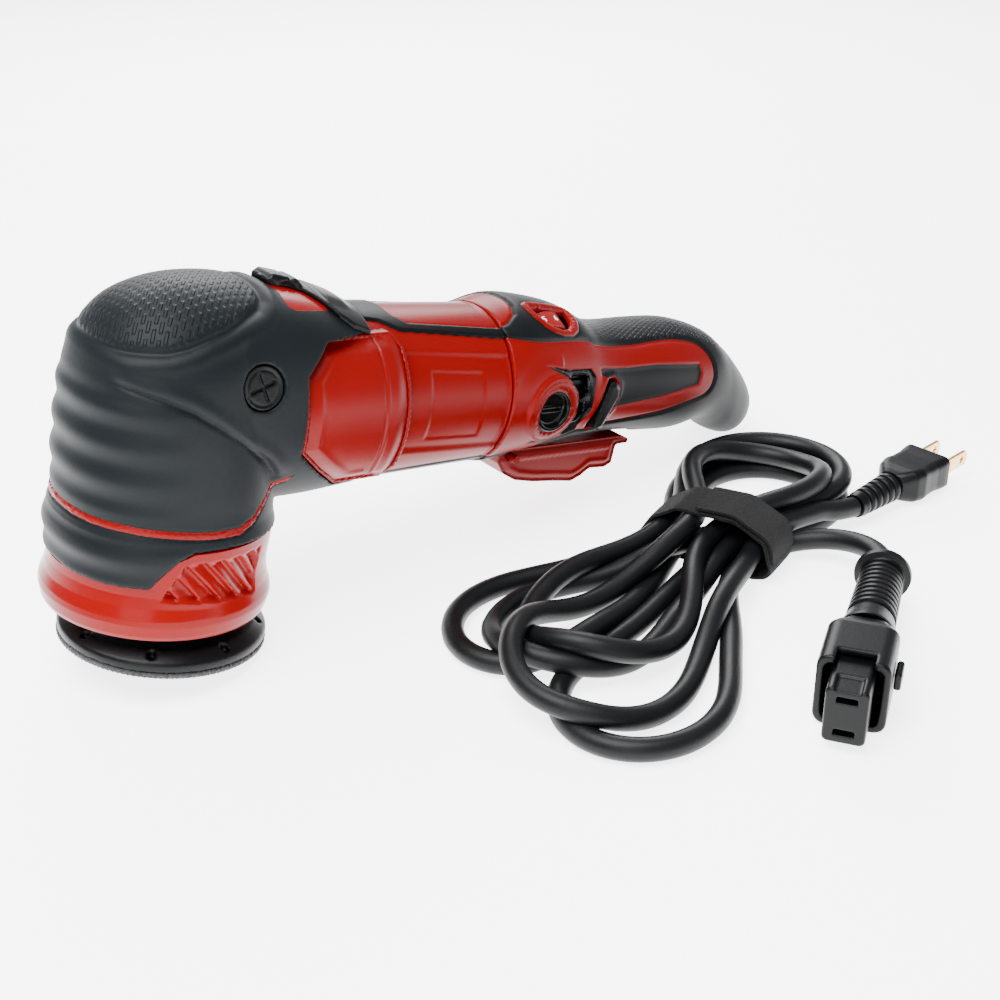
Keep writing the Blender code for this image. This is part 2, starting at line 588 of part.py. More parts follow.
def panel_region(name, extra, inner, outer, side, tool):
    """A cutter or piece: the part of a tube round the motor's axis behind the panel's outline."""
    sleeve = turned(name, ring_profile(inner, outer, 20 * MM, 90 * MM), None, tool, axis="X",
                    at=(0, 0, AXIS_HEIGHT), steps=FINE_STEPS)
    outline = plate(name + "_outline", grown(from_mm(PANEL_CORNERS), extra), 44 * MM, None, tool,
                    at=(0, side * 30 * MM, 0), rotation=UPRIGHT)
    boolean(sleeve, outline, "INTERSECT")
    return sleeve


def make_boot(tool):
    """The soft boot: an upright column joined to a neck along the motor's axis."""
    column = ((BOOT_BOTTOM, -BOOT_FRONT, BOOT_REAR, 35.2 * MM),
              (0.062, -BOOT_FRONT, BOOT_REAR, 35.4 * MM),
              (0.078, -BOOT_FRONT + 0.3 * MM, BOOT_REAR, 35.4 * MM),
              (0.090, -34.2 * MM, BOOT_REAR, 34.8 * MM), (0.100, -32.2 * MM, 0.0355, 33.2 * MM),
              (0.108, -28.4 * MM, 0.034, 29.8 * MM), (0.115, -22.6 * MM, 0.031, 24.6 * MM),
              (0.120, -14.6 * MM, 0.027, 17.6 * MM), (BOOT_TOP - 0.6 * MM, -5.0 * MM, 0.020, 9 * MM))
    boot = lofted("head_boot", [section_at_z(*ring) for ring in column], "boot_rubber", tool)
    neck_rings = ((2.0, 122.4, 58.0, 33.0), (14.0, 123.6, 51.0, 34.4), (28.0, 122.0, 47.6, 34.6),
                  (42.0, 119.2, 47.4, 34.2), (54.0, 115.6, 48.4, 33.4),
                  (BOOT_END / MM, 112.6, 49.2, 32.4))
    neck = lofted("boot_neck", [section_at_x(*(v * MM for v in ring), count=32)
                                for ring in neck_rings], None, tool)
    boolean(boot, neck, "UNION")
    room = turned("boot_room", housing_outline(GAP)
                  + [(HOUSING_RADIUS + GAP, 30 * MM), (0, 30 * MM)], None, tool)
    bore = turned("boot_bore", disc_profile(BOOT_BORE_RADIUS, 0, BOOT_END + 5 * MM), None, tool,
                  axis="X", at=(0, 0, AXIS_HEIGHT))
    boolean(boot, room)
    boolean(boot, bore)
    trim_way = boxed("boot_underside", (0.2, 0.2, 0.02), None, tool,
                     at=(0, 0, BOOT_BOTTOM - 0.01))
    boolean(boot, trim_way)
    for side_name, side in both_sides():
        boolean(boot, panel_region(f"panel_seat_{side_name}", GAP, MOTOR_FRONT_RADIUS - 0.2 * MM,
                                   60 * MM, side, tool))
        panel = panel_region(f"side_panel_{side_name}", 0.0, MOTOR_FRONT_RADIUS + GAP,
                             MOTOR_FRONT_RADIUS + GAP + PANEL_WALL, side, tool)
        show_as_piece(panel, "red_plastic")
        place_cap(boot, side_name, side, tool)
    plate("neck_clip", from_mm(CLIP_OUTLINE), 2 * CLIP_HALF_WIDTH, "grip_rubber", tool,
          rotation=UPRIGHT)


def show_as_piece(obj, finish):
    """Turns a shape that was made as a cutter into a piece."""
    obj.hide_render, obj.display_type = False, "TEXTURED"
    obj.data.materials.append(materials[finish])
    cutters.objects.unlink(obj)
    parts.objects.link(obj)


def place_cap(boot, side_name, side, tool):
    """A round cap with a cross, pressed into the shoulder of the boot."""
    turn = (-side * (math.pi / 2 - CAP_TILT), 0, 0)
    at = (CAP_CENTRE.x, side * CAP_DEPTH, CAP_CENTRE.z)
    seat = turned(f"cap_seat_{side_name}", disc_profile(CAP_RADIUS + GAP, -1.8 * MM, 20 * MM),
                  None, tool, at=at, rotation=turn)
    boolean(boot, seat)
    turned(f"boot_cap_{side_name}",
           [(0, 1.6 * MM), (CAP_RADIUS - MM, 1.6 * MM), (CAP_RADIUS, 0.8 * MM),
            (CAP_RADIUS, -1.4 * MM), (0, -1.4 * MM)], "grip_rubber", tool, at=at, rotation=turn)


def make_shroud(tool):
    """The red shroud round the pad, the black band above it and the thin red trim ring."""
    inner = SHROUD_WAIST_RADIUS - SHROUD_WALL
    shroud = turned("pad_shroud", [
        (SHROUD_TOP_RADIUS, SHROUD_TOP), (SHROUD_WAIST_RADIUS, SHROUD_FRONT_TOP),
        (SHROUD_WAIST_RADIUS + 0.6 * MM, SHROUD_BULGE_HEIGHT + 6 * MM),
        (SHROUD_BULGE_RADIUS, SHROUD_BULGE_HEIGHT), (SHROUD_RIM_RADIUS, SHROUD_BOTTOM),
        (SHROUD_RIM_RADIUS - SHROUD_WALL, SHROUD_BOTTOM),
        (inner + MM, SHROUD_BULGE_HEIGHT + 4 * MM), (inner, SHROUD_FRONT_TOP),
        (inner, SHROUD_TOP)], "red_gloss", tool, steps=FINE_STEPS)
    step = SHROUD_STEP_X
    front_cut = boxed("shroud_front_cut", (0.1, 0.1, 0.03), None, tool,
                      at=(step - 0.05, 0, SHROUD_FRONT_TOP + 0.015))
    boolean(shroud, front_cut)
    band_inner = HOUSING_RADIUS + 2.2 * MM
    band = turned("lower_band", [
        (BAND_TOP_RADIUS, TRIM_BOTTOM - GAP), (SHROUD_TOP_RADIUS, SHROUD_TOP),
        (SHROUD_WAIST_RADIUS, SHROUD_FRONT_TOP + GAP), (band_inner, SHROUD_FRONT_TOP + GAP),
        (band_inner, TRIM_BOTTOM - GAP)], "boot_rubber", tool, steps=FINE_STEPS)
    rear_cut = boxed("band_rear_cut", (0.1, 0.1, 0.03), None, tool,
                     at=(step - GAP + 0.05, 0, SHROUD_TOP + GAP - 0.015))
    boolean(band, rear_cut)
    turned("trim_ring", ring_profile(HOUSING_RADIUS + GAP, TRIM_RADIUS, TRIM_BOTTOM, TRIM_TOP),
           "red_gloss", tool, steps=FINE_STEPS)


# ---------------------------------------------------------------- motor

def make_motor(tool):
    """The motor housing, the stator, and the armature with its fan and bearings."""
    at = (0, 0, AXIS_HEIGHT)
    slip = BOOT_BORE_RADIUS - GAP
    turned("motor_housing", [
        (MOTOR_REAR_RADIUS, MOTOR_END), (MOTOR_FRONT_RADIUS, BOOT_END + GAP),
        (slip, BOOT_END + GAP), (slip, MOTOR_START), (slip - 2.7 * MM, MOTOR_START),
        (slip - 2.7 * MM, FAN_END + 3 * MM), (MOTOR_BORE_RADIUS, STATOR_START - GAP),
        (MOTOR_BORE_RADIUS, MOTOR_END)], "red_plastic", tool, axis="X", at=at, steps=FINE_STEPS)
    turned("stator", ring_profile(STATOR_BORE_RADIUS, MOTOR_BORE_RADIUS - GAP, STATOR_START,
                                  STATOR_END), "core_steel", tool, axis="X", at=at)
    turned("armature_shaft", [
        (0, SHAFT_END), (SHAFT_RADIUS, SHAFT_END), (SHAFT_RADIUS, PINION_END + GAP),
        (SHAFT_RADIUS * 0.7, PINION_END + GAP), (SHAFT_RADIUS * 0.7, SHAFT_START),
        (0, SHAFT_START)], "bearing_steel", tool, axis="X", at=at, steps=SMALL_STEPS)
    on_shaft = SHAFT_RADIUS + GAP
    turned("armature_core", ring_profile(on_shaft, CORE_RADIUS, CORE_START, CORE_END),
           "core_steel", tool, axis="X", at=at)
    turned("commutator", ring_profile(on_shaft, COMMUTATOR_RADIUS, COMMUTATOR_START,
                                      COMMUTATOR_END), "copper", tool, axis="X", at=at)
    hub = 9.0 * MM
    turned("cooling_fan", [
        (hub, FAN_END), (hub, FAN_START + 3 * MM), (FAN_RADIUS, FAN_START + 2 * MM),
        (FAN_RADIUS, FAN_START), (on_shaft, FAN_START), (on_shaft, FAN_END)],
        "black_plastic", tool, axis="X", at=at)
    turned("front_bearing", ring_profile(on_shaft, FRONT_BEARING_RADIUS, FRONT_BEARING_START,
                                         FRONT_BEARING_END), "bearing_steel", tool, axis="X",
           at=at)
    turned("rear_bearing", ring_profile(on_shaft, REAR_BEARING_RADIUS, REAR_BEARING_START,
                                        REAR_BEARING_END), "bearing_steel", tool, axis="X",
           at=at)


# ---------------------------------------------------------------- handle

def handle_rings(inset=0.0, start=None, end=None):
    """The handle's sections, shrunk by inset; start and end move its two end sections."""
    rings = [[v * MM for v in row] for row in HANDLE_SECTIONS]
    if start is not None:
        rings[0][0] = start
    if end is not None:
        rings = [row for row in rings if row[0] < end - MM]
        last = [np.interp(end, [r[0] * MM for r in HANDLE_SECTIONS],
                          [r[k] * MM for r in HANDLE_SECTIONS]) for k in (1, 2, 3)]
        rings.append([end] + [float(v) for v in last])
    return [section_at_x(*row, inset=inset) for row in rings]


def handle_solid(name, finish, tool):
    """The handle's whole outer form, less the hollow inside it."""
    solid = lofted(name, handle_rings(), finish, tool)
    hollow = lofted(name + "_hollow", handle_rings(HANDLE_WALL, 119 * MM, SHELL_END - 2 * MM),
                    None, tool)
    boolean(solid, hollow)
    return solid


def keep_block(name, low, high, tool):
    """A box cutter between two corners."""
    low, high = Vector(low), Vector(high)
    return boxed(name, tuple(high - low), None, tool, at=tuple((low + high) / 2))


def grip_region(name, shift, tool):
    """Everything above the grip's lower line, which drops towards the tail."""
    outline = [(0.11, GRIP_LINE + shift), (0.226, GRIP_LINE + shift),
               (0.236 - shift, GRIP_LINE_TAIL + shift), (0.30, GRIP_LINE_TAIL + shift),
               (0.30, 0.15), (0.11, 0.15)]
    return plate(name, outline, 0.1, None, tool, rotation=UPRIGHT)


def make_handle(tool):
    """Two red shells, the black top grip, the belly cover and the tail with its inlet."""
    far = 0.06
    above = grip_region("grip_above", 0.0, tool)
    grip_room = grip_region("grip_room", -GAP, tool)
    dial_frame = add_empty("dial_frame", tool, DIAL_FRAME, (DIAL_ROLL, 0, 0))
    dial_window = keep_block("dial_window", (-BEZEL_LENGTH / 2 - GAP, -BEZEL_WIDTH / 2 - GAP,
                                             10 * MM),
                             (BEZEL_LENGTH / 2 + GAP, BEZEL_WIDTH / 2 + GAP, 0.05), dial_frame)
    before_tail = keep_block("before_tail", (0.1, -far, 0.02), (SHELL_END, far, 0.13), tool)
    grip = handle_solid("top_grip", "grip_rubber", tool)
    boolean(grip, above, "INTERSECT")
    boolean(grip, before_tail, "INTERSECT")
    boolean(grip, dial_window)

    belly_block = keep_block("belly_block", (BELLY_START, -far, 0.02),
                             (SHELL_END, far, BELLY_LINE), tool)
    belly = handle_solid("belly_cover", "black_plastic", tool)
    boolean(belly, belly_block, "INTERSECT")

    belly_room = keep_block("belly_room", (BELLY_START - GAP, -far, 0.02),
                            (SHELL_END + MM, far, BELLY_LINE + GAP), tool)
    pocket = keep_block("trigger_pocket", (POCKET_START, -TRIGGER_HALF_WIDTH - 2 * GAP, 0.02),
                        (POCKET_END, TRIGGER_HALF_WIDTH + 2 * GAP, POCKET_TOP), tool)
    pin_way = turned("pin_way", disc_profile(PIN_RADIUS + GAP, -PIN_HALF_LENGTH - GAP,
                                             PIN_HALF_LENGTH + GAP), None, tool, axis="Y",
                     at=tuple(TRIGGER_PIVOT), steps=SMALL_STEPS)
    for side_name, side in both_sides():
        shell = handle_solid(f"handle_shell_{side_name}", "red_plastic", tool)
        half = keep_block(f"half_{side_name}", (0.1, min(side * GAP / 2, side * far), 0.02),
                          (SHELL_END, max(side * GAP / 2, side * far), 0.13), tool)
        boolean(shell, half, "INTERSECT")
        for cutter in (grip_room, belly_room, pocket, pin_way):
            boolean(shell, cutter)
        fit_side_pieces(shell, side_name, side, tool)

    tail = lofted("tail_cap", handle_rings(), "grip_rubber", tool)
    tail_block = keep_block("tail_block", (SHELL_END + GAP, -far, 0.02), (0.3, far, 0.13), tool)
    inlet = boxed("inlet_room", (0.06, 2 * INLET_HALF_WIDTH, 2 * INLET_HALF_HEIGHT), None, tool,
                  at=(INLET_FLOOR + 0.03, 0, INLET_HEIGHT), bevel=1.5 * MM)
    boolean(tail, tail_block, "INTERSECT")
    boolean(tail, inlet)
    for side_name, side in both_sides():
        length = INLET_PIN_END - INLET_FLOOR - GAP
        boxed(f"inlet_pin_{side_name}", (length, 1.6 * MM, 6 * MM), "brass", tool,
              at=(INLET_FLOOR + GAP + length / 2, side * INLET_PIN_SPACING / 2, INLET_HEIGHT))


def side_window(shell, name, outline, side, tool, depth):
    """Cuts a window of that outline through one side of a shell."""
    window = plate(name, outline, 30 * MM, None, tool, at=(0, side * (depth + 15 * MM), 0),
                   rotation=UPRIGHT)
    boolean(shell, window)


def fit_side_pieces(shell, side_name, side, tool):
    """The vent insert and the brush gear of one side of the handle."""
    vent_outline = from_mm(VENT_CORNERS)
    side_window(shell, f"vent_window_{side_name}", grown(vent_outline, GAP), side, tool,
                15 * MM)
    vent = plate(f"vent_insert_{side_name}", vent_outline, 2.4 * MM, "black_plastic", tool,
                 at=(0, side * 25.4 * MM, 0), rotation=UPRIGHT)
    for label, low, high in (("lower", 67.0 * MM, VENT_RIB_HEIGHT - MM),
                             ("upper", VENT_RIB_HEIGHT + MM, 85.0 * MM)):
        slot = boxed(f"vent_{label}_{side_name}", (5.0 * MM, 10 * MM, high - low), None, tool,
                     at=(158.5 * MM, side * 25.4 * MM, (low + high) / 2))
        boolean(vent, slot)
    make_brush(shell, side_name, side, tool)


def make_brush(shell, side_name, side, tool):
    """A screw cap and the carbon brush behind it."""
    at = tuple(BRUSH_CENTRE)
    turn = AXES["Y"] if side > 0 else (math.pi / 2, 0, 0)
    bore = turned(f"brush_bore_{side_name}", disc_profile(BRUSH_CAP_RADIUS + GAP, 15 * MM,
                                                          40 * MM), None, tool, at=at,
                  rotation=turn)
    boolean(shell, bore)
    cap = turned(f"brush_cap_{side_name}", [
        (0, BRUSH_CAP_OUTER), (BRUSH_CAP_RADIUS - MM, BRUSH_CAP_OUTER),
        (BRUSH_CAP_RADIUS, BRUSH_CAP_OUTER - MM), (BRUSH_CAP_RADIUS, BRUSH_CAP_INNER),
        (0, BRUSH_CAP_INNER)], "black_plastic", tool, at=at, rotation=turn)
    slot = boxed(f"cap_slot_{side_name}", (12 * MM, 2.4 * MM, 1.6 * MM), None, tool,
                 at=(at[0], side * (BRUSH_CAP_OUTER - 1.1 * MM), at[2]))
    boolean(cap, slot)
    middle, length = (BRUSH_START + BRUSH_END) / 2, BRUSH_END - BRUSH_START
    boxed(f"carbon_brush_{side_name}", (2 * BRUSH_HALF, length, 2 * BRUSH_HALF), "carbon", tool,
          at=(at[0], side * middle, AXIS_HEIGHT))


# ---------------------------------------------------------------- controls

def make_trigger(tool):
    """The paddle, which swings up about a pin at its front, and the switch above it."""
    outline = [(x - TRIGGER_PIVOT.x, z - TRIGGER_PIVOT.z) for x, z in from_mm(TRIGGER_OUTLINE)]
    trigger = plate("trigger", outline, 2 * TRIGGER_HALF_WIDTH, "red_plastic", tool,
                    at=tuple(TRIGGER_PIVOT), rotation=UPRIGHT)
    bore = turned("trigger_bore", disc_profile(PIN_RADIUS + GAP, -20 * MM, 20 * MM), None, tool,
                  axis="Y", at=tuple(TRIGGER_PIVOT), steps=SMALL_STEPS)
    boolean(trigger, bore)
    turned("trigger_pin", disc_profile(PIN_RADIUS, -PIN_HALF_LENGTH, PIN_HALF_LENGTH),
           "bearing_steel", tool, axis="Y", at=tuple(TRIGGER_PIVOT), steps=SMALL_STEPS)
    boxed("switch", (26 * MM, 14 * MM, 16 * MM), "black_plastic", tool,
          at=(188 * MM, 0, 74 * MM), bevel=MM, segments=1)


def make_lock_button(tool, shell):
    """The slanted lock button in its slot through the right shell."""
    centre = (BUTTON_CENTRE.x, -(BUTTON_OUTER + BUTTON_INNER) / 2, BUTTON_CENTRE.z)
    turn = (0, BUTTON_LEAN, 0)
    depth = BUTTON_OUTER - BUTTON_INNER
    boxed("lock_button", (BUTTON_WIDTH, depth, BUTTON_LENGTH), "black_plastic", tool, at=centre,
          rotation=turn, bevel=1.2 * MM)
    slot = boxed("button_slot", (BUTTON_WIDTH + 4 * GAP, 30 * MM, BUTTON_LENGTH + 4 * GAP), None,
                 tool, at=centre, rotation=turn)
    boolean(shell, slot)


def make_dial(dial_frame):
    """The speed wheel with its axle, and the red bezel round the part that shows."""
    at = (0, 0, DIAL_HEIGHT)
    turned("speed_dial", [
        (0, DIAL_AXLE_END), (DIAL_AXLE_RADIUS, DIAL_AXLE_END),
        (DIAL_AXLE_RADIUS, DIAL_HALF_WIDTH), (DIAL_RADIUS, DIAL_HALF_WIDTH),
        (DIAL_RADIUS, -DIAL_HALF_WIDTH), (DIAL_AXLE_RADIUS, -DIAL_HALF_WIDTH),
        (DIAL_AXLE_RADIUS, -DIAL_AXLE_END), (0, -DIAL_AXLE_END)], "red_plastic", dial_frame,
        axis="Y", at=at)
    half_length, half_width = BEZEL_LENGTH / 2, BEZEL_WIDTH / 2
    outline = rounded_outline(half_length, half_width, 6 * MM)
    hole = rounded_outline(half_length - BEZEL_WALL, half_width - BEZEL_WALL, 1.6 * MM)
    plate("dial_bezel", outline, BEZEL_TOP - BEZEL_BOTTOM, "red_gloss", dial_frame,
          at=(0, 0, (BEZEL_TOP + BEZEL_BOTTOM) / 2), hole=hole)


def rounded_outline(half_x, half_y, radius, steps=5):
    """A rectangle with round corners, anticlockwise."""
    points = []
    for corner, (sx, sy) in enumerate(((1, 1), (-1, 1), (-1, -1), (1, -1))):
        for k in range(steps):
            turn = math.pi / 2 * (corner + k / (steps - 1))
            points.append((sx * (half_x - radius) + radius * math.cos(turn),
                           sy * (half_y - radius) + radius * math.sin(turn)))
    return points


# ---------------------------------------------------------------- mains lead

def make_hank(ground):
    """The lead's strapped hank as one solid of its outer shape, with its strap."""
    hank = add_empty("hank", ground, HANK_CENTRE, (0, 0, HANK_HEADING))
    outline = smooth_line(from_mm(HANK_OUTLINE), 9 * MM, closed=True)
    solid = plate("cord_hank", outline, HANK_TOP - HANK_BOTTOM, "cord_jacket", hank,
                  at=(0, 0, (HANK_TOP + HANK_BOTTOM) / 2))
    waist_low, waist_high = -24.0 * MM, 23.0 * MM
    inner_half = (waist_high - waist_low) / 2 + GAP
    middle = (waist_low + waist_high) / 2
    height = HANK_TOP - HANK_BOTTOM
    waist_clear = 2 * STRAP_HALF_LENGTH + 2 * MM
    for label, side in (("near", 1), ("far", -1)):
        notch = boxed(f"waist_{label}", (waist_clear, 20 * MM, 0.1), None, hank,
                      at=(0, middle + side * (inner_half - GAP + 10 * MM), 0))
        boolean(solid, notch)
    outer = rounded_outline(inner_half + STRAP_THICKNESS, height / 2 + GAP + STRAP_THICKNESS,
                            4 * MM)
    inner = rounded_outline(inner_half, height / 2 + GAP, 0.5 * MM)
    turn = (math.pi / 2, 0, math.pi / 2)
    plate("cord_strap", outer, 2 * STRAP_HALF_LENGTH, "strap_fabric", hank,
          at=(0, middle, (HANK_TOP + HANK_BOTTOM) / 2), rotation=turn, hole=inner)
    leads = {}
    for name, points in (("cord_to_plug", PLUG_LEAD), ("cord_to_connector", CONNECTOR_LEAD)):
        route = smooth_line(from_mm(points), 5 * MM)
        tube(name, route, CORD_DIAMETER, "cord_jacket", hank)
        leads[name] = to_ground(route[-1])
    return leads


def to_ground(point):
    """A point of the hank's frame, on the floor's frame."""
    c, s = math.cos(HANK_HEADING), math.sin(HANK_HEADING)
    return Vector((HANK_CENTRE.x + c * point[0] - s * point[1],
                   HANK_CENTRE.y + s * point[0] + c * point[1], point[2]))


def make_plug(ground, start):
    """A flat two-blade plug with its ribbed strain relief."""
    plug = add_empty("plug", ground, (start.x, start.y, PLUG_HEIGHT), (0, 0, PLUG_HEADING))
    low = 2 * GAP
    relief_end = low + PLUG_RELIEF_LENGTH
    turned("plug_relief", [(0, relief_end), (5.6 * MM, relief_end), (4.6 * MM, low), (0, low)],
           "black_plastic", plug, axis="X", steps=SMALL_STEPS)
    body_start = relief_end + GAP
    boxed("plug_body", (PLUG_LENGTH, PLUG_WIDTH, PLUG_THICKNESS), "black_plastic", plug,
          at=(body_start + PLUG_LENGTH / 2, 0, 0), bevel=3 * MM)
    blade_start = body_start + PLUG_LENGTH + GAP
    for side_name, side in both_sides():
        boxed(f"plug_blade_{side_name}", (BLADE_LENGTH, BLADE_THICKNESS, BLADE_WIDTH), "brass",
              plug, at=(blade_start + BLADE_LENGTH / 2, side * BLADE_SPACING / 2, 0))


def make_connector(ground, start):
    """The connector that mates with the tail: grip, hood, contact block and latch."""
    connector = add_empty("connector", ground, (start.x, start.y, CONNECTOR_HEIGHT),
                          (0, 0, CONNECTOR_HEADING))
    low = 2 * GAP
    grip_end = low + GRIP_LENGTH
    turned("connector_grip", [
        (0, grip_end), (GRIP_RADIUS + 2 * MM, grip_end), (GRIP_RADIUS, grip_end - 8 * MM),
        (GRIP_RADIUS - 0.8 * MM, low + FLANGE_LENGTH), (FLANGE_RADIUS, low + FLANGE_LENGTH),
        (FLANGE_RADIUS, low), (0, low)], "black_plastic", connector, axis="X")
    hood_start = grip_end + GAP
    neck_length = 11 * MM
    rings = []
    for x, wide, high in ((hood_start, GRIP_RADIUS * 1.9, GRIP_RADIUS * 2.1),
                          (hood_start + neck_length, HOOD_WIDTH, HOOD_HEIGHT),
                          (hood_start + neck_length + HOOD_LENGTH, HOOD_WIDTH, HOOD_HEIGHT)):
        rings.append([(x, y, z) for y, z in rounded_outline(wide / 2, high / 2, 4 * MM)])
    hood = lofted("connector_hood", rings, "black_plastic", connector)
    mouth_start = hood_start + neck_length + 4 * MM
    mouth = boxed("hood_mouth", (0.06, HOOD_WIDTH - 2 * HOOD_WALL, HOOD_HEIGHT - 2 * HOOD_WALL),
                  None, connector, at=(mouth_start + 0.03, 0, 0), bevel=2 * MM)
    boolean(hood, mouth)
    block_start = mouth_start + GAP
    block = boxed("contact_block", (BLOCK_LENGTH, BLOCK_WIDTH, BLOCK_HEIGHT), "black_plastic",
                  connector, at=(block_start + BLOCK_LENGTH / 2, 0, 0), bevel=1.6 * MM,
                  segments=1)
    for label, side in (("lower", -1), ("upper", 1)):
        slot = boxed(f"block_slot_{label}", (2 * SLOT_DEPTH, 6.6 * MM, 2.2 * MM), None,
                     connector, at=(block_start + BLOCK_LENGTH, 0,
                                    side * INLET_PIN_SPACING / 2))
        boolean(block, slot)
    boxed("connector_latch", (LATCH_LENGTH, 2.4 * MM, 6 * MM), "black_plastic", connector,
          at=(hood_start + neck_length + 11 * MM, HOOD_WIDTH / 2 + GAP + 1.2 * MM, 3 * MM),
          bevel=0.6 * MM, segments=1)


# ---------------------------------------------------------------- assembly

def stand_on_floor(tool):
    """Moves the leaning tool so that its box is centred on the origin and stands on the floor."""
    bpy.context.view_layer.update()
    depsgraph = bpy.context.evaluated_depsgraph_get()
    low, high = Vector((1e9,) * 3), Vector((-1e9,) * 3)
    for obj in parts.objects:
        if obj.type not in ("MESH", "CURVE") or obj.hide_render or top_parent(obj) is not tool:
            continue
        evaluated = obj.evaluated_get(depsgraph)
        mesh = evaluated.to_mesh()
        for vertex in mesh.vertices:
            point = evaluated.matrix_world @ vertex.co
            low = Vector(map(min, low, point))
            high = Vector(map(max, high, point))
        evaluated.to_mesh_clear()
    tool.location -= Vector(((low.x + high.x) / 2, (low.y + high.y) / 2, low.z))


def top_parent(obj):
    while obj.parent:
        obj = obj.parent
    return obj


def main():
    start_scene()
    pad_edge = ORBIT_RADIUS * math.cos(ORBIT_ANGLE) + PLATE_RADIUS - 0.3 * MM
    lean = math.atan2(HEEL.z, HEEL.x - pad_edge)
    tool = add_empty("tool", rotation=(0, lean, 0))
    offset, bearing_low = make_pad(tool)
    make_spindle(tool, offset, bearing_low)
    make_gears(tool)
    make_gear_housing(tool)
    make_boot(tool)
    make_shroud(tool)
    make_motor(tool)
    make_handle(tool)
    make_trigger(tool)
    make_lock_button(tool, bpy.data.objects["handle_shell_right"])
    make_dial(bpy.data.objects["dial_frame"])
    ground = add_empty("ground")
    ends = make_hank(ground)
    make_plug(ground, ends["cord_to_plug"])
    make_connector(ground, ends["cord_to_connector"])
    stand_on_floor(tool)
    for obj in parts.objects:
        finish_mesh(obj)


main()
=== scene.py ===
# Looks for the dual action polisher: it stands on its pad and tail beside its strapped mains lead.
import json
import math

import bmesh
import bpy
import numpy as np
from mathutils import Matrix, Vector


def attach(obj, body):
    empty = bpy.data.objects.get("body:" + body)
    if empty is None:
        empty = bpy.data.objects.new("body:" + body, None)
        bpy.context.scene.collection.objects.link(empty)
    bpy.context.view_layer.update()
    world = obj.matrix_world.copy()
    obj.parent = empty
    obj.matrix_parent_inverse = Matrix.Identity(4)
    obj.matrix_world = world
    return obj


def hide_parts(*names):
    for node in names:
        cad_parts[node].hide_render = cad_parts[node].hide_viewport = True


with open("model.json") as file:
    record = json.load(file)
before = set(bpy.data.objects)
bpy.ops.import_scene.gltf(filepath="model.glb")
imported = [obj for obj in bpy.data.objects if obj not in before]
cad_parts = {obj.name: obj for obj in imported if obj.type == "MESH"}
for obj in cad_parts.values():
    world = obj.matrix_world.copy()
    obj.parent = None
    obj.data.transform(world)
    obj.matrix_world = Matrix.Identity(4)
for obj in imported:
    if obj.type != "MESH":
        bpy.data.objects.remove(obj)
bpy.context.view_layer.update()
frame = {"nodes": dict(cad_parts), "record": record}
nodes = frame["nodes"]
joints = {joint["name"]: joint for joint in frame["record"]["behaviour"]["joints"]}
mm = 0.001

# The tool's own axes: x towards the tail, z up the spindle, origin on the pad's face
toolX = Vector(joints["armature_spin"]["axis"]).normalized()
toolZ = Vector(joints["spindle_spin"]["axis"]).normalized()
toolY = toolZ.cross(toolX)
spindleMark = 60 * mm  # the spindle joint's mark stands this far above the pad's face
toolOrigin = Vector(joints["spindle_spin"]["pos_m"]) - toolZ * spindleMark
toolAxes = np.array([toolX, toolY, toolZ])
toolMatrix = Matrix.Translation(toolOrigin) @ Matrix(toolAxes.T.tolist()).to_4x4()
motorHeight = 80.5  # the motor's axis above the pad's face, mm
sides = ((-1, "right"), (1, "left"))  # y's sign and the name of each side
thin = 0.05  # a turned piece's profile stops this short of its axis, mm


def toTool(points):
    return (np.asarray(points) - np.array(toolOrigin)) @ toolAxes.T / mm


def fromTool(points):
    return np.asarray(points) * mm @ toolAxes + np.array(toolOrigin)


# Small mesh helpers: everything for the tool is laid out in its own frame, in mm

def ramp(values, low, high):
    # 0 below low, 1 above high, and smooth between them
    t = np.clip((values - low) / (high - low), 0, 1)
    return t * t * (3 - 2 * t)


def bumpAt(values, centre, width):
    return np.exp(-((values - centre) / width) ** 2)


def alongLine(values, line):
    # the line's height at each value
    return np.interp(values, *zip(*line))


def placed(name, data):
    obj = bpy.data.objects.new(name, data)
    bpy.context.scene.collection.objects.link(obj)
    return obj


def makeMesh(name, points, faces, toWorld=fromTool):
    mesh = bpy.data.meshes.new(name)
    mesh.from_pydata([tuple(p) for p in toWorld(np.array(points, float))], [], faces)
    mesh.update()
    return placed(name, mesh)


def ringsToMesh(name, rings, toWorld=fromTool, loop=False):
    # joins each ring of points to the next; a loop's last ring joins its first
    count = len(rings[0])
    points = np.concatenate([np.array(ring, float) for ring in rings])
    faces = []
    last = len(rings) if loop else len(rings) - 1
    for k in range(last):
        a, b = k * count, (k + 1) % len(rings) * count
        faces += [(a + i, a + (i + 1) % count, b + (i + 1) % count, b + i) for i in range(count)]
    if not loop:
        faces += [tuple(range(count))[::-1], tuple(range((len(rings) - 1) * count, len(rings) * count))]
    obj = makeMesh(name, points, faces, toWorld)
    fixNormals(obj)
    return obj


def fixNormals(obj):
    bm = bmesh.new()
    bm.from_mesh(obj.data)
    bmesh.ops.recalc_face_normals(bm, faces=bm.faces)
    bm.to_mesh(obj.data)
    bm.free()


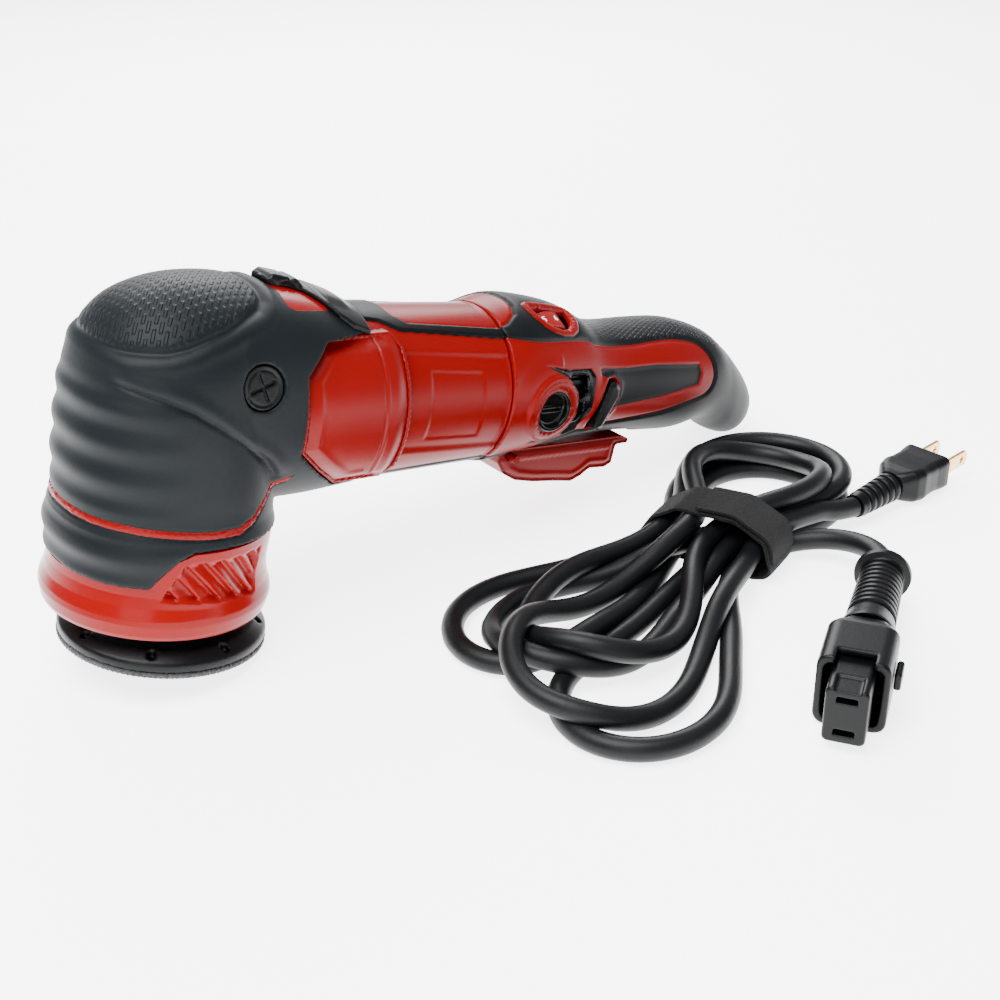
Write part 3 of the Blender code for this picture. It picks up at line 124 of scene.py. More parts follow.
def turned(name, profile, axis="z", at=(0, 0, 0), steps=128, toWorld=fromTool):
    # profile: closed outline of (radius, height)
    around = np.linspace(0, 2 * math.pi, steps, endpoint=False)
    rings = []
    for angle in around:
        c, s = math.cos(angle), math.sin(angle)
        if axis == "z":
            rings.append([(at[0] + r * c, at[1] + r * s, at[2] + h) for r, h in profile])
        elif axis == "x":
            rings.append([(at[0] + h, at[1] + r * c, at[2] + r * s) for r, h in profile])
        else:
            rings.append([(at[0] + r * c, at[1] + h, at[2] + r * s) for r, h in profile])
    return ringsToMesh(name, rings, toWorld=toWorld, loop=True)


def rod(name, radius, low, high, **where):
    return turned(name, [(thin, low), (radius, low), (radius, high), (thin, high)], **where)


def denser(profile, spacing):
    # the same outline with points at most that far apart
    points = []
    for a, b in zip(profile, profile[1:] + profile[:1]):
        a, b = np.array(a, float), np.array(b, float)
        parts = max(1, math.ceil(np.linalg.norm(b - a) / spacing))
        points += [tuple(a + (b - a) * k / parts) for k in range(parts)]
    return points


def splined(points, spacing, closed=False):
    # evenly spaced points on a smooth line through the given ones
    knots = [np.array(p, float) for p in points]
    knots = ([knots[-1]] + knots + knots[:2]) if closed else (
        [2 * knots[0] - knots[1]] + knots + [2 * knots[-1] - knots[-2]])
    fine = []
    for a, b, c, d in zip(knots, knots[1:], knots[2:], knots[3:]):
        for t in np.linspace(0, 1, 24, endpoint=False):
            fine.append(0.5 * (2 * b + (c - a) * t + (2 * a - 5 * b + 4 * c - d) * t ** 2
                               + (3 * b - a - 3 * c + d) * t ** 3))
    fine.append(knots[-2])
    return evenly(np.array(fine), spacing)


def evenly(line, spacing):
    travelled = np.concatenate([[0], np.cumsum(np.linalg.norm(np.diff(line, axis=0), axis=1))])
    wanted = np.linspace(0, travelled[-1], max(2, round(travelled[-1] / spacing) + 1))
    return np.stack([np.interp(wanted, travelled, line[:, k]) for k in range(line.shape[1])], 1)


def oval(count, exponent):
    turn = np.linspace(0, 2 * math.pi, count, endpoint=False)
    c, s = np.cos(turn), np.sin(turn)
    return np.sign(c) * abs(c) ** (2 / exponent), np.sign(s) * abs(s) ** (2 / exponent)


def sectionAtX(x, top, bottom, halfWidth, inset=0.0, count=160):
    a, b = oval(count, 2.2)
    middle, half = (top + bottom) / 2, (top - bottom) / 2 - inset
    return np.stack([np.full(count, x), (halfWidth - inset) * a, middle + half * b], 1)


def sectionAtZ(z, front, rear, halfWidth, count=180):
    a, b = oval(count, 2.2)
    return np.stack([(rear + front) / 2 + (rear - front) / 2 * a, halfWidth * b,
                     np.full(count, z)], 1)


def prism(name, outline, low, high, plane="xz", toWorld=fromTool):
    # an outline stood up between two depths
    first, second = np.array(outline, float).T
    ends = []
    for depth in (low, high):
        fill = np.full(len(first), depth)
        columns = {"xz": (first, fill, second), "xy": (first, second, fill), "yz": (fill, first, second)}
        ends.append(np.stack(columns[plane], 1))
    return ringsToMesh(name, ends, toWorld=toWorld)


def sidePrism(name, outline, side, near, far):
    return prism(name, outline, *sorted((side * near, side * far)))


def block(name, low, high):
    return prism(name, [(low[0], low[2]), (high[0], low[2]), (high[0], high[2]), (low[0], high[2])],
                 low[1], high[1])


def applied(obj):
    # turns the modifiers into mesh
    evaluated = obj.evaluated_get(bpy.context.evaluated_depsgraph_get())
    mesh = bpy.data.meshes.new_from_object(evaluated)
    old = obj.data
    obj.modifiers.clear()
    obj.data = mesh
    bpy.data.meshes.remove(old)
    return obj


def combine(obj, other, operation="DIFFERENCE"):
    step = obj.modifiers.new("Combine", "BOOLEAN")
    step.operation, step.object, step.solver = operation, other, "EXACT"
    applied(obj)
    bpy.data.objects.remove(other, do_unlink=True)
    return obj


def remeshed(obj, grain, rounds=3):
    step = obj.modifiers.new("Fill", "REMESH")
    step.mode, step.voxel_size = "VOXEL", grain * mm * 1
    if rounds:
        soften = obj.modifiers.new("Soften", "SMOOTH")
        soften.factor, soften.iterations = 0.5, rounds
    return applied(obj)


def cadCopy(node):
    obj = nodes[node].copy()
    obj.data = nodes[node].data.copy()
    obj.data.materials.clear()
    obj.name = node + "_skin"
    obj.parent = None
    obj.matrix_world = nodes[node].matrix_world
    bpy.context.scene.collection.objects.link(obj)
    return obj


def meshPoints(obj):
    points = np.empty(len(obj.data.vertices) * 3)
    obj.data.vertices.foreach_get("co", points)
    return toTool(points.reshape(-1, 3))


def meshNormals(obj):
    normals = np.empty(len(obj.data.vertices) * 3)
    obj.data.vertices.foreach_get("normal", normals)
    return normals.reshape(-1, 3) @ toolAxes.T


def setPoints(obj, points):
    obj.data.vertices.foreach_set("co", fromTool(points).ravel())
    obj.data.update()


def sculpt(obj, depthAt):
    # moves each point along its normal by depthAt(points, normals), in mm
    points, normals = meshPoints(obj), meshNormals(obj)
    setPoints(obj, points + normals * depthAt(points, normals)[:, None])


def paint(obj, **masks):
    # signed distances in mm that the materials read, and each point's place on the tool
    points = meshPoints(obj)
    for name, values in masks.items():
        layer = obj.data.attributes.new(name, "FLOAT", "POINT")
        layer.data.foreach_set("value", np.asarray(values(points), float))
    place = obj.data.attributes.new("place", "FLOAT_VECTOR", "POINT")
    place.data.foreach_set("vector", points.ravel())


def finished(obj, name, materialName, *replaced, body="tool", sharp=None):
    obj.name = obj.data.name = name
    obj.data.materials.clear()
    obj.data.materials.append(finishes[materialName])
    obj.data.shade_smooth()
    if sharp:
        obj.data.set_sharp_from_angle(angle=math.radians(sharp))
    if replaced:
        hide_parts(*replaced)
    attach(obj, body)


def lineDistance(points, line):
    line = np.array(line, float)
    best = np.full(len(points), 1e9)
    for a, b in zip(line, line[1:]):
        edge, rel = b - a, points - a
        t = np.clip(rel @ edge / (edge @ edge), 0, 1)
        best = np.minimum(best, np.linalg.norm(rel - t[:, None] * edge, axis=1))
    return best


def insideBy(points, outline):
    # signed distance to a closed outline, positive inside
    ring = np.array([*outline, outline[0]], float)
    inside = np.zeros(len(points), bool)
    for a, b in zip(ring, ring[1:]):
        edge = b - a
        crosses = (a[1] > points[:, 1]) != (b[1] > points[:, 1])
        if edge[1]:
            inside ^= crosses & (points[:, 0] < a[0] + (points[:, 1] - a[1]) * edge[0] / edge[1])
    away = lineDistance(points, ring)
    return np.where(inside, away, -away)


def sideways(points):
    # x and z on the near side; the far side mirrors it
    return points[:, [0, 2]]


def unrolled(points, radius=30.5):
    # x, and the arc length up from the side, of a point round the motor's axis
    angle = np.arctan2(points[:, 2] - motorHeight, abs(points[:, 1]))
    return np.stack([points[:, 0], angle * radius], 1)


def roundHead(points, radius=35.4):
    # arc length from the nose round either side, and height, of a point round the spindle's axis
    angle = np.arctan2(abs(points[:, 1]), -points[:, 0])
    return np.stack([angle * radius, points[:, 2]], 1)


# Materials

class Num:
    # wraps a socket, so that shader maths reads as an expression
    def __init__(self, tree, socket):
        self.tree, self.socket = tree, socket

    def maths(self, operation, *others, flip=False):
        node = self.tree.nodes.new("ShaderNodeMath")
        node.operation = operation
        values = (others[0], self) if flip else (self, *others)
        for slot, value in zip(node.inputs, values):
            if isinstance(value, Num):
                self.tree.links.new(value.socket, slot)
            else:
                slot.default_value = value
        return Num(self.tree, node.outputs[0])

    def __add__(self, other): return self.maths("ADD", other)
    def __sub__(self, other): return self.maths("SUBTRACT", other)
    def __rsub__(self, other): return self.maths("SUBTRACT", other, flip=True)
    def __mul__(self, other): return self.maths("MULTIPLY", other)
    def __truediv__(self, other): return self.maths("DIVIDE", other)
    def size(self): return self.maths("ABSOLUTE")
    def fraction(self): return self.maths("FRACT")
    def floor(self): return self.maths("FLOOR")
    def larger(self, other): return self.maths("MAXIMUM", other)


class Finish:
    def __init__(self, name, colour, roughness, **settings):
        self.material = bpy.data.materials.new(name)
        self.material.use_nodes = True
        self.tree = self.material.node_tree
        self.shader = self.tree.nodes["Principled BSDF"]
        self.shader.inputs["Base Color"].default_value = (*colour, 1)
        self.shader.inputs["Roughness"].default_value = roughness
        for socket, value in settings.items():
            self.shader.inputs[socket.replace("_", " ")].default_value = value
        finishes[name] = self.material

    def node(self, kind, settings=None, **values):
        made = self.tree.nodes.new("ShaderNode" + kind)
        for key, value in (settings or {}).items():
            setattr(made, key, value)
        for key, value in values.items():
            slot = made.inputs[key.replace("_", " ")]
            if isinstance(value, Num):
                self.tree.links.new(value.socket, slot)
            else:
                slot.default_value = value
        return made

    def num(self, node, output=0):
        return Num(self.tree, node.outputs[output])

    def mask(self, name):
        return self.num(self.node("Attribute", {"attribute_name": name}), "Fac")

    def place(self):
        return self.num(self.node("Attribute", {"attribute_name": "place"}), "Vector")

    def split(self, vector):
        made = self.node("SeparateXYZ", Vector=vector)
        return [self.num(made, k) for k in range(3)]

    def where(self):
        # the piece's own place, in metres
        return self.num(self.node("TexCoord"), "Object")

    def noise(self, scale, detail=3.0, roughness=0.5, vector=None):
        return self.num(self.node("TexNoise", Scale=scale, Detail=detail, Roughness=roughness,
                                  Vector=vector or self.where()))

    def cells(self, scale, vector=None):
        return self.num(self.node("TexVoronoi", Scale=scale, Vector=vector or self.where()))

    def step(self, value, low, high):
        return self.num(self.node("MapRange", {"interpolation_type": "SMOOTHSTEP"}, Value=value,
                                  From_Min=low, From_Max=high))

    def mixed(self, factor, first, second):
        made = self.tree.nodes.new("ShaderNodeMix")
        made.data_type = "RGBA"
        for key, value in (("Factor_Float", factor), ("A_Color", first), ("B_Color", second)):
            slot = next(s for s in made.inputs if s.identifier == key)
            if isinstance(value, Num):
                self.tree.links.new(value.socket, slot)
            else:
                slot.default_value = (*value, 1) if isinstance(value, tuple) else value
        return Num(self.tree, next(s for s in made.outputs if s.identifier == "Result_Color"))

    def colour(self, value):
        self.tree.links.new(value.socket, self.shader.inputs["Base Color"])

    def rough(self, value):
        self.tree.links.new(value.socket, self.shader.inputs["Roughness"])

    def bump(self, height, distance, strength=1.0):
        made = self.node("Bump", Height=height, Distance=distance * mm, Strength=strength)
        self.tree.links.new(made.outputs[0], self.shader.inputs["Normal"])


finishes = {}
red, redDeep = (0.15, 0.0, 0.0), (0.12, 0.0, 0.0)
blue, black = (0.0012, 0.0024, 0.0032), (0.0010, 0.0012, 0.0014)


def dashes(finish, angle, length, width):
    # short raised dashes in staggered rows
    x, y, z = finish.split(finish.place())
    c, s = math.cos(angle), math.sin(angle)
    along = (x * c + y * s) / length
    across = (y * c - x * s) / width
    row = across.floor()
    shifted = (along + row * 0.5).fraction() - 0.5
    inRow = across.fraction() - 0.5
    return finish.step(shifted.size(), 0.40, 0.24) * finish.step(inRow.size(), 0.34, 0.16)


def makeFinishes():
    # soft boot: satin rubber, dashes inside the dome, red double line
    boot = Finish("bootRubber", blue, 0.5, Specular_IOR_Level=0.13)
    isRed = boot.step(boot.mask("trim"), -0.05, 0.05)
    leaf = boot.step(boot.mask("leaf"), -0.05, 0.05)
    painted = isRed.larger(leaf)
    grain = boot.noise(900.0)
    cloud = boot.noise(26.0, 4.0)
    boot.colour(boot.mixed(painted, boot.mixed(cloud, blue, (0.0020, 0.0038, 0.0048)), red))
    boot.rough(boot.step(painted, 0, 1) * -0.26 + (cloud * 0.14 + 0.44))
    domed = boot.step(boot.mask("dome"), 0.5, 2.5)
    boot.bump(dashes(boot, 0.9, 4.2, 2.0) * domed + grain * 0.10 * (1 - painted), 0.35)

    redBody = Finish("redHousing", red, 0.3, Specular_IOR_Level=0.10)
    isBlack = redBody.step(redBody.mask("black"), -0.05, 0.05)
    cloud = redBody.noise(30.0)
    redBody.colour(redBody.mixed(isBlack, redBody.mixed(cloud, red, redDeep), black))
    redBody.rough(isBlack * 0.12 + (cloud * 0.10 + 0.27))
    redBody.bump(redBody.noise(1500.0, 2.0), 0.03)

    handle = Finish("handleShell", red, 0.32, Specular_IOR_Level=0.12)
    isBlack = handle.step(handle.mask("black"), -0.05, 0.05)
    glossy = handle.step(handle.mask("gloss"), -0.05, 0.05)
    textured = handle.step(handle.mask("grip"), 0.0, 1.5)
    cloud = handle.noise(30.0)
    handle.colour(handle.mixed(isBlack, handle.mixed(cloud, red, redDeep),
                               handle.mixed(cloud, black, blue)))
    handle.rough(isBlack * 0.16 * (1 - glossy) + (cloud * 0.10 + 0.28) - glossy * 0.12)
    handle.bump(dashes(handle, 0.5, 3.4, 1.7) * textured * isBlack + handle.noise(1500.0, 2.0) * 0.08, 0.3)

    for name, colour, roughness, scale, depth in (
            ("redGloss", (0.19, 0.0, 0.0), 0.2, 700.0, 0.015),
            ("redSatin", red, 0.3, 1300.0, 0.03),
            ("blackSatin", black, 0.36, 1300.0, 0.04),
            ("blackGloss", (0.002, 0.002, 0.0022), 0.14, 500.0, 0.01),
            ("fanBlack", (0.02, 0.02, 0.021), 0.4, 900.0, 0.04),
            ("carbon", (0.025, 0.025, 0.027), 0.65, 2400.0, 0.06)):
        plain = Finish(name, colour, roughness, Specular_IOR_Level=0.14)
        cloud = plain.noise(35.0)
        darker = tuple(0.78 * c for c in colour)
        plain.colour(plain.mixed(cloud, colour, darker))
        plain.rough(cloud * 0.12 + (roughness - 0.05))
        plain.bump(plain.noise(scale, 2.0), depth)

    for name, colour, roughness in (
            ("brass", (0.80, 0.52, 0.20), 0.2), ("steel", (0.6, 0.6, 0.62), 0.25),
            ("coreSteel", (0.3, 0.31, 0.33), 0.42), ("alloy", (0.66, 0.66, 0.68), 0.42),
            ("copper", (0.72, 0.36, 0.2), 0.3)):
        metal = Finish(name, colour, roughness, Metallic=1.0)
        streak = metal.noise(260.0, 4.0, 0.6)
        metal.colour(metal.mixed(streak, colour, tuple(0.8 * c for c in colour)))
        metal.rough(streak * 0.2 + (roughness - 0.08))
        metal.bump(streak, 0.02)

    jacket = Finish("cordJacket", (0.0016, 0.0018, 0.0020), 0.42, Specular_IOR_Level=0.16)
    cloud = jacket.noise(60.0, 4.0)
    jacket.colour(jacket.mixed(cloud, (0.0012, 0.0014, 0.0016), (0.0030, 0.0034, 0.0038)))
    jacket.rough(cloud * 0.2 + 0.34)
    jacket.bump(jacket.noise(700.0, 3.0) + jacket.noise(90.0, 2.0) * 0.6, 0.06)

    tape = Finish("strapTape", (0.002, 0.002, 0.002), 0.9, Sheen_Weight=0.05,
                  Specular_IOR_Level=0.1)
    fluff = tape.noise(2600.0, 4.0, 0.7)
    tape.colour(tape.mixed(fluff, (0.0010, 0.0010, 0.0012), (0.0050, 0.0050, 0.0056)))
    tape.bump(fluff + tape.cells(1400.0) * 0.8, 0.35)

    hook = Finish("hookFabric", (0.05, 0.05, 0.055), 0.95, Sheen_Weight=0.2)
    fuzz = hook.cells(1300.0)
    hook.colour(hook.mixed(fuzz, (0.006, 0.006, 0.007), (0.05, 0.05, 0.055)))
    hook.bump(fuzz, 0.6)

    dialFace = Finish("dialFace", (0.18, 0.0, 0.0), 0.35, Specular_IOR_Level=0.25)
    cloud = dialFace.noise(40.0)
    dialFace.colour(dialFace.mixed(cloud, (0.18, 0.0, 0.0), (0.15, 0.0, 0.0)))
    dialFace.bump(dialFace.noise(1200.0), 0.03)
    ink = Finish("dialInk", (0.85, 0.85, 0.85), 0.5)
    cloud = ink.noise(200.0)
    ink.colour(ink.mixed(cloud, (0.85, 0.85, 0.85), (0.75, 0.75, 0.76)))

    ground = Finish("floor", (0.96, 0.96, 0.96), 0.7, Emission_Strength=3.6,
                    Emission_Color=(1, 1, 1, 1), Specular_IOR_Level=0.1)
    cloud = ground.noise(3.0)
    ground.colour(ground.mixed(cloud, (0.94, 0.94, 0.945), (0.92, 0.92, 0.925)))


makeFinishes()
print("materials made")


# Camera, lights and floor

view = {"azimuth": -0.6532, "height": 0.4969, "roll": -0.0152, "distance": 598.9,
        "target": (26.9, 0.0, 4.9), "focal": 1502.6, "frame": 1000, "sensor": 36.0}


def makeCamera():
    az, el = view["azimuth"], view["height"]
    back = Vector((math.sin(az) * math.cos(el), -math.cos(az) * math.cos(el), math.sin(el)))
    right = (-back).cross(Vector((0, 0, 1))).normalized()
    up = right.cross(-back)
    c, s = math.cos(view["roll"]), math.sin(view["roll"])
    right, up = right * c + up * s, up * c - right * s
    turn = Matrix((right, up, back)).transposed().to_4x4()
    camera = bpy.data.cameras.new("camera")
    camera.sensor_width = view["sensor"]
    camera.lens = view["focal"] / view["frame"] * view["sensor"]
    camera.clip_start = 0.05
    obj = placed("camera", camera)
    obj.matrix_world = Matrix.Translation((Vector(view["target"]) + back * view["distance"]) * mm) @ turn
    bpy.context.scene.camera = obj


studio = {"panels": (("key", (-0.35, -0.1, 0.95), (0.75, 0.75), 30.0),
                     ("fill", (-0.9, -0.9, 0.55), (0.7, 0.9), 7.0),
                     ("rim", (0.5, 0.85, 0.7), (0.9, 0.6), 22.0)),
          "aim": (0, -0.05, 0.04), "sky": (0.93, 0.95, 1.0), "skyStrength": 0.8, "floor": 6.0}


def makeStudio():
    for name, at, size, power in studio["panels"]:
        lamp = bpy.data.lights.new(name, "AREA")
        lamp.shape, lamp.size, lamp.size_y, lamp.energy = "RECTANGLE", size[0], size[1], power
        obj = placed(name, lamp)
        obj.location = at
        obj.rotation_euler = (Vector(studio["aim"]) - Vector(at)).to_track_quat("-Z", "Y").to_euler()
    world = bpy.data.worlds.new("studio")
    world.use_nodes = True
    backdrop = world.node_tree.nodes["Background"]
    backdrop.inputs["Color"].default_value = (*studio["sky"], 1)
    backdrop.inputs["Strength"].default_value = studio["skyStrength"]
    bpy.context.scene.world = world
    half = studio["floor"] / 2
    mesh = bpy.data.meshes.new("floor")
    mesh.from_pydata([(-half, -half, 0), (half, -half, 0), (half, half, 0), (-half, half, 0)], [],
                     [(0, 1, 2, 3)])
    mesh.materials.append(finishes["floor"])
    placed("floor", mesh)


makeCamera()
makeStudio()
print("camera and studio placed")


# Mains lead: a hank of loops in a strap, laid out along it (s), across it (v) and up, mm

hank = {"centre": (68.2, -77.5), "heading": math.radians(200.2), "thickness": 8.0,
        "floorGap": 0.1, "strapHalf": 10.0, "strapSides": (-24.0, 23.0), "strapTop": 29.0,
        "spacing": 4.0, "rounds": 420, "bend": 38.0, "strapThick": 1.3,
        # how many points stay put at the connector's end and at the plug's
        "held": (17, 5)}
level0, level1, level2 = 4.2, 12.3, 20.5
plugLead = [(-11, 18.6, 13.2), (-19, 19.6, 13.2), (-26, 23.0, 12.8), (-33, 28.4, 11.2),
            (-40, 33.4, 9.2), (-48, 37.4, 8.2)]
# each loop: side, where it leaves and comes back along the strap, reach, middle, radius, heights
loops = [(1, 16.6, 5.8, 132, 21, 28, (level0, level0)), (-1, 5.8, -18.6, 80, 0, 31, (level0, level0)),
         (1, -18.6, -10.6, 113, -32, 28, (level0, level0)), (-1, -10.6, -2.6, 73, 3, 31, (level0, level1)),
         (1, -2.6, 9.6, 110, -18, 28, (level1, level1)), (-1, 9.6, -16.8, 83, 1, 32, (level1, level1)),
         (1, -16.8, 3.0, 107, -9, 28, (level1, level2)), (-1, 3.0, -5.0, 70, -1, 31, (level2, level2)),
         (1, -5.0, 18.6, 131, 3, 29, (level2, 13.2))]


def leadArc():
    # the cord turns back from the connector in one even bend
    heading, radius = math.radians(12.1), 25.0
    start = np.array([1.6, 66.2])
    middle = start + radius * np.array([math.sin(heading), -math.cos(heading)])
    points = []
    for t in np.linspace(0, 1, 9):
        angle = math.pi / 2 + heading + t * (math.pi - heading)
        points.append((*(middle + radius * np.array([math.cos(angle), math.sin(angle)])),
                       13.4 - 7.8 * ramp(t, 0.05, 0.9)))
    return points


def loopPoints(side, leave, back, reach, middle, radius, heights):
    first = 1 if leave > back else -1
    centre = reach - radius
    points = []
    for t in np.linspace(0, 1, 9):
        turn = first * math.pi / 2 * (1 - 2 * t) * 1.06
        points.append((side * (centre + radius * math.cos(turn)), middle + radius * math.sin(turn),
                       heights[0] + (heights[1] - heights[0]) * float(ramp(t, 0, 1))))
    out, home = points[0], points[-1]
    half = side * centre * 0.45
    start = [(side * 9, leave, heights[0]), (half, leave * 0.62 + out[1] * 0.38, heights[0])]
    end = [(half, back * 0.62 + home[1] * 0.38, heights[1]), (side * 9, back, heights[1])]
    return start + points + end


connectorLead = leadArc()
turns = [loopPoints(*row) for row in loops]


def hankToWorld(points):
    c, s = math.cos(hank["heading"]), math.sin(hank["heading"])
    points = np.asarray(points, float)
    x = hank["centre"][0] + c * points[:, 0] - s * points[:, 1]
    y = hank["centre"][1] + s * points[:, 0] + c * points[:, 1]
    return np.stack([x, y, points[:, 2]], 1) * mm


def settled(route):
    # lets the loops push apart, sink and straighten, held at both ends
    line = home = route
    radius = hank["thickness"] / 2
    low = radius + hank["floorGap"]
    index = np.arange(len(line))
    first, last = hank["held"]
    fixed = (index < first) | (index >= len(line) - last)
    apart = hank["thickness"] + 0.15
    far = abs(index[:, None] - index[None, :]) > 5
    for _ in range(hank["rounds"]):
        move = np.zeros_like(line)
        bend = np.zeros_like(line)
        bend[2:-2] = (-line[:-4] + 4 * line[1:-3] - 6 * line[2:-2] + 4 * line[3:-1] - line[4:]) / 16
        line = line + 0.9 * bend * ~fixed[:, None]
        stretch = np.diff(line, axis=0)
        length = np.linalg.norm(stretch, axis=1, keepdims=True)
        pull = stretch * (1 - hank["spacing"] / length) * 0.25
        move[:-1] += pull
        move[1:] -= pull
        gap = line[:, None, :] - line[None, :, :]
        distance = np.linalg.norm(gap, axis=2) + 1e-6
        close = far & (distance < apart)
        if close.any():
            # what is laid later rests on top
            lift = gap + np.sign(index[:, None] - index[None, :])[:, :, None] * np.array([0, 0, 3.0])
            lift[:, :, :2] *= 0.5
            size = np.linalg.norm(lift, axis=2) + 1e-6
            push = np.where(close, (apart - distance) / size * 0.22, 0)[:, :, None] * lift
            move += push.sum(1)
        move += (home - line) * np.array([0.004, 0.004, 0.001])
        for reach in (1, 3, 6):
            second = line[:-2 * reach] - 2 * line[reach:-reach] + line[2 * reach:]
            size = np.linalg.norm(second, axis=1, keepdims=True) + 1e-9
            over = second * np.maximum(size - (hank["spacing"] * reach) ** 2 / hank["bend"], 0) / size
            move[reach:-reach] += 0.26 * over
            move[:-2 * reach] -= 0.13 * over
            move[2 * reach:] -= 0.13 * over
        move[:, 2] -= 0.05
        line = line + np.clip(move, -0.7, 0.7) * ~fixed[:, None]
        line[:, 2] = np.maximum(line[:, 2], low)
        held = (abs(line[:, 0]) < hank["strapHalf"] - 2) & (index > 26) & ~fixed
        line[held, 1] = np.clip(line[held, 1], hank["strapSides"][0] + radius,
                                hank["strapSides"][1] - radius)
        line[held, 2] = np.clip(line[held, 2], low + hank["strapThick"], hank["strapTop"] - radius)
    for _ in range(10):
        line[1:-1] += 0.25 * (line[:-2] - 2 * line[1:-1] + line[2:]) * ~fixed[1:-1, None]
    return line


def makeCord():
    points = connectorLead + [p for turn in turns for p in turn][1:] + plugLead
    line = settled(splined(points, hank["spacing"]))
    line[0], line[-1] = connectorLead[0], plugLead[-1]
    world = hankToWorld(line)
    curve = bpy.data.curves.new("mains_cord", "CURVE")
    curve.dimensions = "3D"
    curve.bevel_depth, curve.bevel_resolution = hank["thickness"] / 2 * mm, 6
    curve.use_fill_caps = True
    spline = curve.splines.new("NURBS")
    spline.points.add(len(world) - 1)
    for knot, point in zip(spline.points, world):
        knot.co = (*point, 1)
    spline.order_u, spline.use_endpoint_u = 4, True
    spline.resolution_u = 2
    curve.materials.append(finishes["cordJacket"])
    cord = placed("mains_cord", curve)
    length = float(np.linalg.norm(np.diff(world, axis=0), axis=1).sum())
    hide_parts("cord_hank", "cord_to_plug", "cord_to_connector")
    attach(cord, "tool")
    return cord, world, length, line


cord, cordRoute, cordLength, cordLine = makeCord()
print("cord laid,", round(cordLength, 3), "m")


# The boot, with its lower band and trim line in one soft skin

boot = {"grain": 0.6, "ribPitch": 11.5, "ribDepth": 0.55, "ribTop": 77.0, "trimWidth": 2.3,
        "rings": [(29.0, -36.0, 36.0, 36.0), (36.0, -36.7, 36.7, 36.7), (43.4, -37.1, 37.1, 37.1),
                  (48.5, -35.7, 35.9, 35.7), (54.0, -35.1, 35.9, 35.2), (62.0, -35.4, 36.0, 35.4),
                  (78.0, -35.1, 36.0, 35.4), (90.0, -34.2, 36.0, 34.8), (100.0, -32.2, 35.5, 33.2),
                  (108.0, -28.4, 34.0, 29.8), (115.0, -22.6, 31.0, 24.6),
                  (120.0, -14.6, 27.0, 17.6), (123.2, -6.0, 21.0, 10.0), (124.2, 2.0, 14.0, 4.0)],
        "neck": [(2.0, 122.4, 58.0, 33.0), (14.0, 123.4, 51.0, 34.4), (28.0, 122.0, 47.6, 34.6),
                 (42.0, 119.2, 47.4, 34.2), (54.0, 115.6, 48.4, 33.4), (62.9, 112.6, 49.2, 32.4)],
        "hollow": [(thin, 20), (33.2, 20), (33.2, 49.7), (31.4, 52), (31.4, 90.6), (28.6, 99.5),
                   (21.0, 108.5), (10.0, 113.2), (thin, 113.6)],
        # the boot's lower edge over the shroud, and the trim line above it, as x and z
        "skirt": [(-80, 31.3), (-18.8, 31.6), (-15.0, 36.8), (-11.0, 41.6), (-6.0, 44.0), (80, 44.3)],
        "trim": [(0, 51.2), (28, 50.9), (40, 50.2), (56, 48.9), (66, 48.8), (72, 51.0), (78, 56.4),
                 (83, 61.5), (87, 66.0)],
        "crease": [(18.7, 96.9), (27.6, 95.2), (36.8, 93.4), (46.2, 90.3), (54.3, 85.7),
                   (63.1, 79.8), (74.3, 71.2), (80.5, 64.0)],
        "dome": [(-31, 105.3), (-25, 105.8), (-15.4, 107), (-9, 108.8), (-2.8, 111.1), (4.7, 113.2),
                 (12.4, 115.9), (18.5, 118), (21.5, 120), (22.6, 122), (23, 132), (-60, 132), (-60, 105)],
        "leaf": [(28.5, 2.8), (36.5, 1.6), (42.4, 5.6), (47.4, 13.4), (46.8, 15.6), (40, 17.4),
                 (33, 18.8), (30.2, 17.4), (30.6, 11.0), (29.6, 6.5)],
        "clip": [(29.0, -1), (29.0, 5), (32.6, 6.2), (37.0, 4.6), (42.0, 6.6), (46.5, 12.4), (50.5, 18.0),
                 (55.0, 20.6), (61.8, 20.6), (61.8, -1)]}
panelOutline = [(32.0, 72.0), (32.0, 98.0), (41.0, 107.0), (70.0, 108.0), (73.5, 104.0), (73.5, 62.0),
                (70.0, 57.0), (52.0, 56.0), (41.0, 64.0)]
cap = {"centre": (15.2, 31.2, 95.8), "tilt": math.radians(12), "radius": 7.2}
seatGap = 0.35  # round a panel or a cap in its seat


def grown(outline, by):
    ring = [Vector(p) for p in outline]
    area = sum(a.x * b.y - a.y * b.x for a, b in zip(ring, ring[1:] + ring[:1]))
    side = 1 if area > 0 else -1
    pushed = []
    for before, here, after in zip(ring[-1:] + ring[:-1], ring, ring[1:] + ring[:1]):
        first, second = (here - before).normalized(), (after - here).normalized()
        normal = (Vector((first.y + second.y, -first.x - second.x)) * side).normalized()
        pushed.append(tuple(here + normal * by / max(abs(normal.dot(Vector((first.y, -first.x)))), 0.5)))
    return pushed


def bootBody():
    column = ringsToMesh("column", [sectionAtZ(*row) for row in splined(boot["rings"], 3.0)])
    neck = ringsToMesh("neck", [sectionAtX(*row) for row in splined(boot["neck"], 4.0)])
    return combine(column, neck, "UNION")


def capTurn(side):
    # the cap's own axes, its z straight out of the shoulder
    tilt = cap["tilt"]
    out = Vector((0, side * math.cos(tilt), math.sin(tilt)))
    across = Vector((1, 0, 0))
    return across, out.cross(across), out


def inCap(side):
    across, up, out = capTurn(side)
    at = Vector((cap["centre"][0], side * cap["centre"][1], cap["centre"][2]))
    axes = np.array([across, up, out])
    return lambda points: fromTool(np.asarray(points) @ axes + np.array(at))


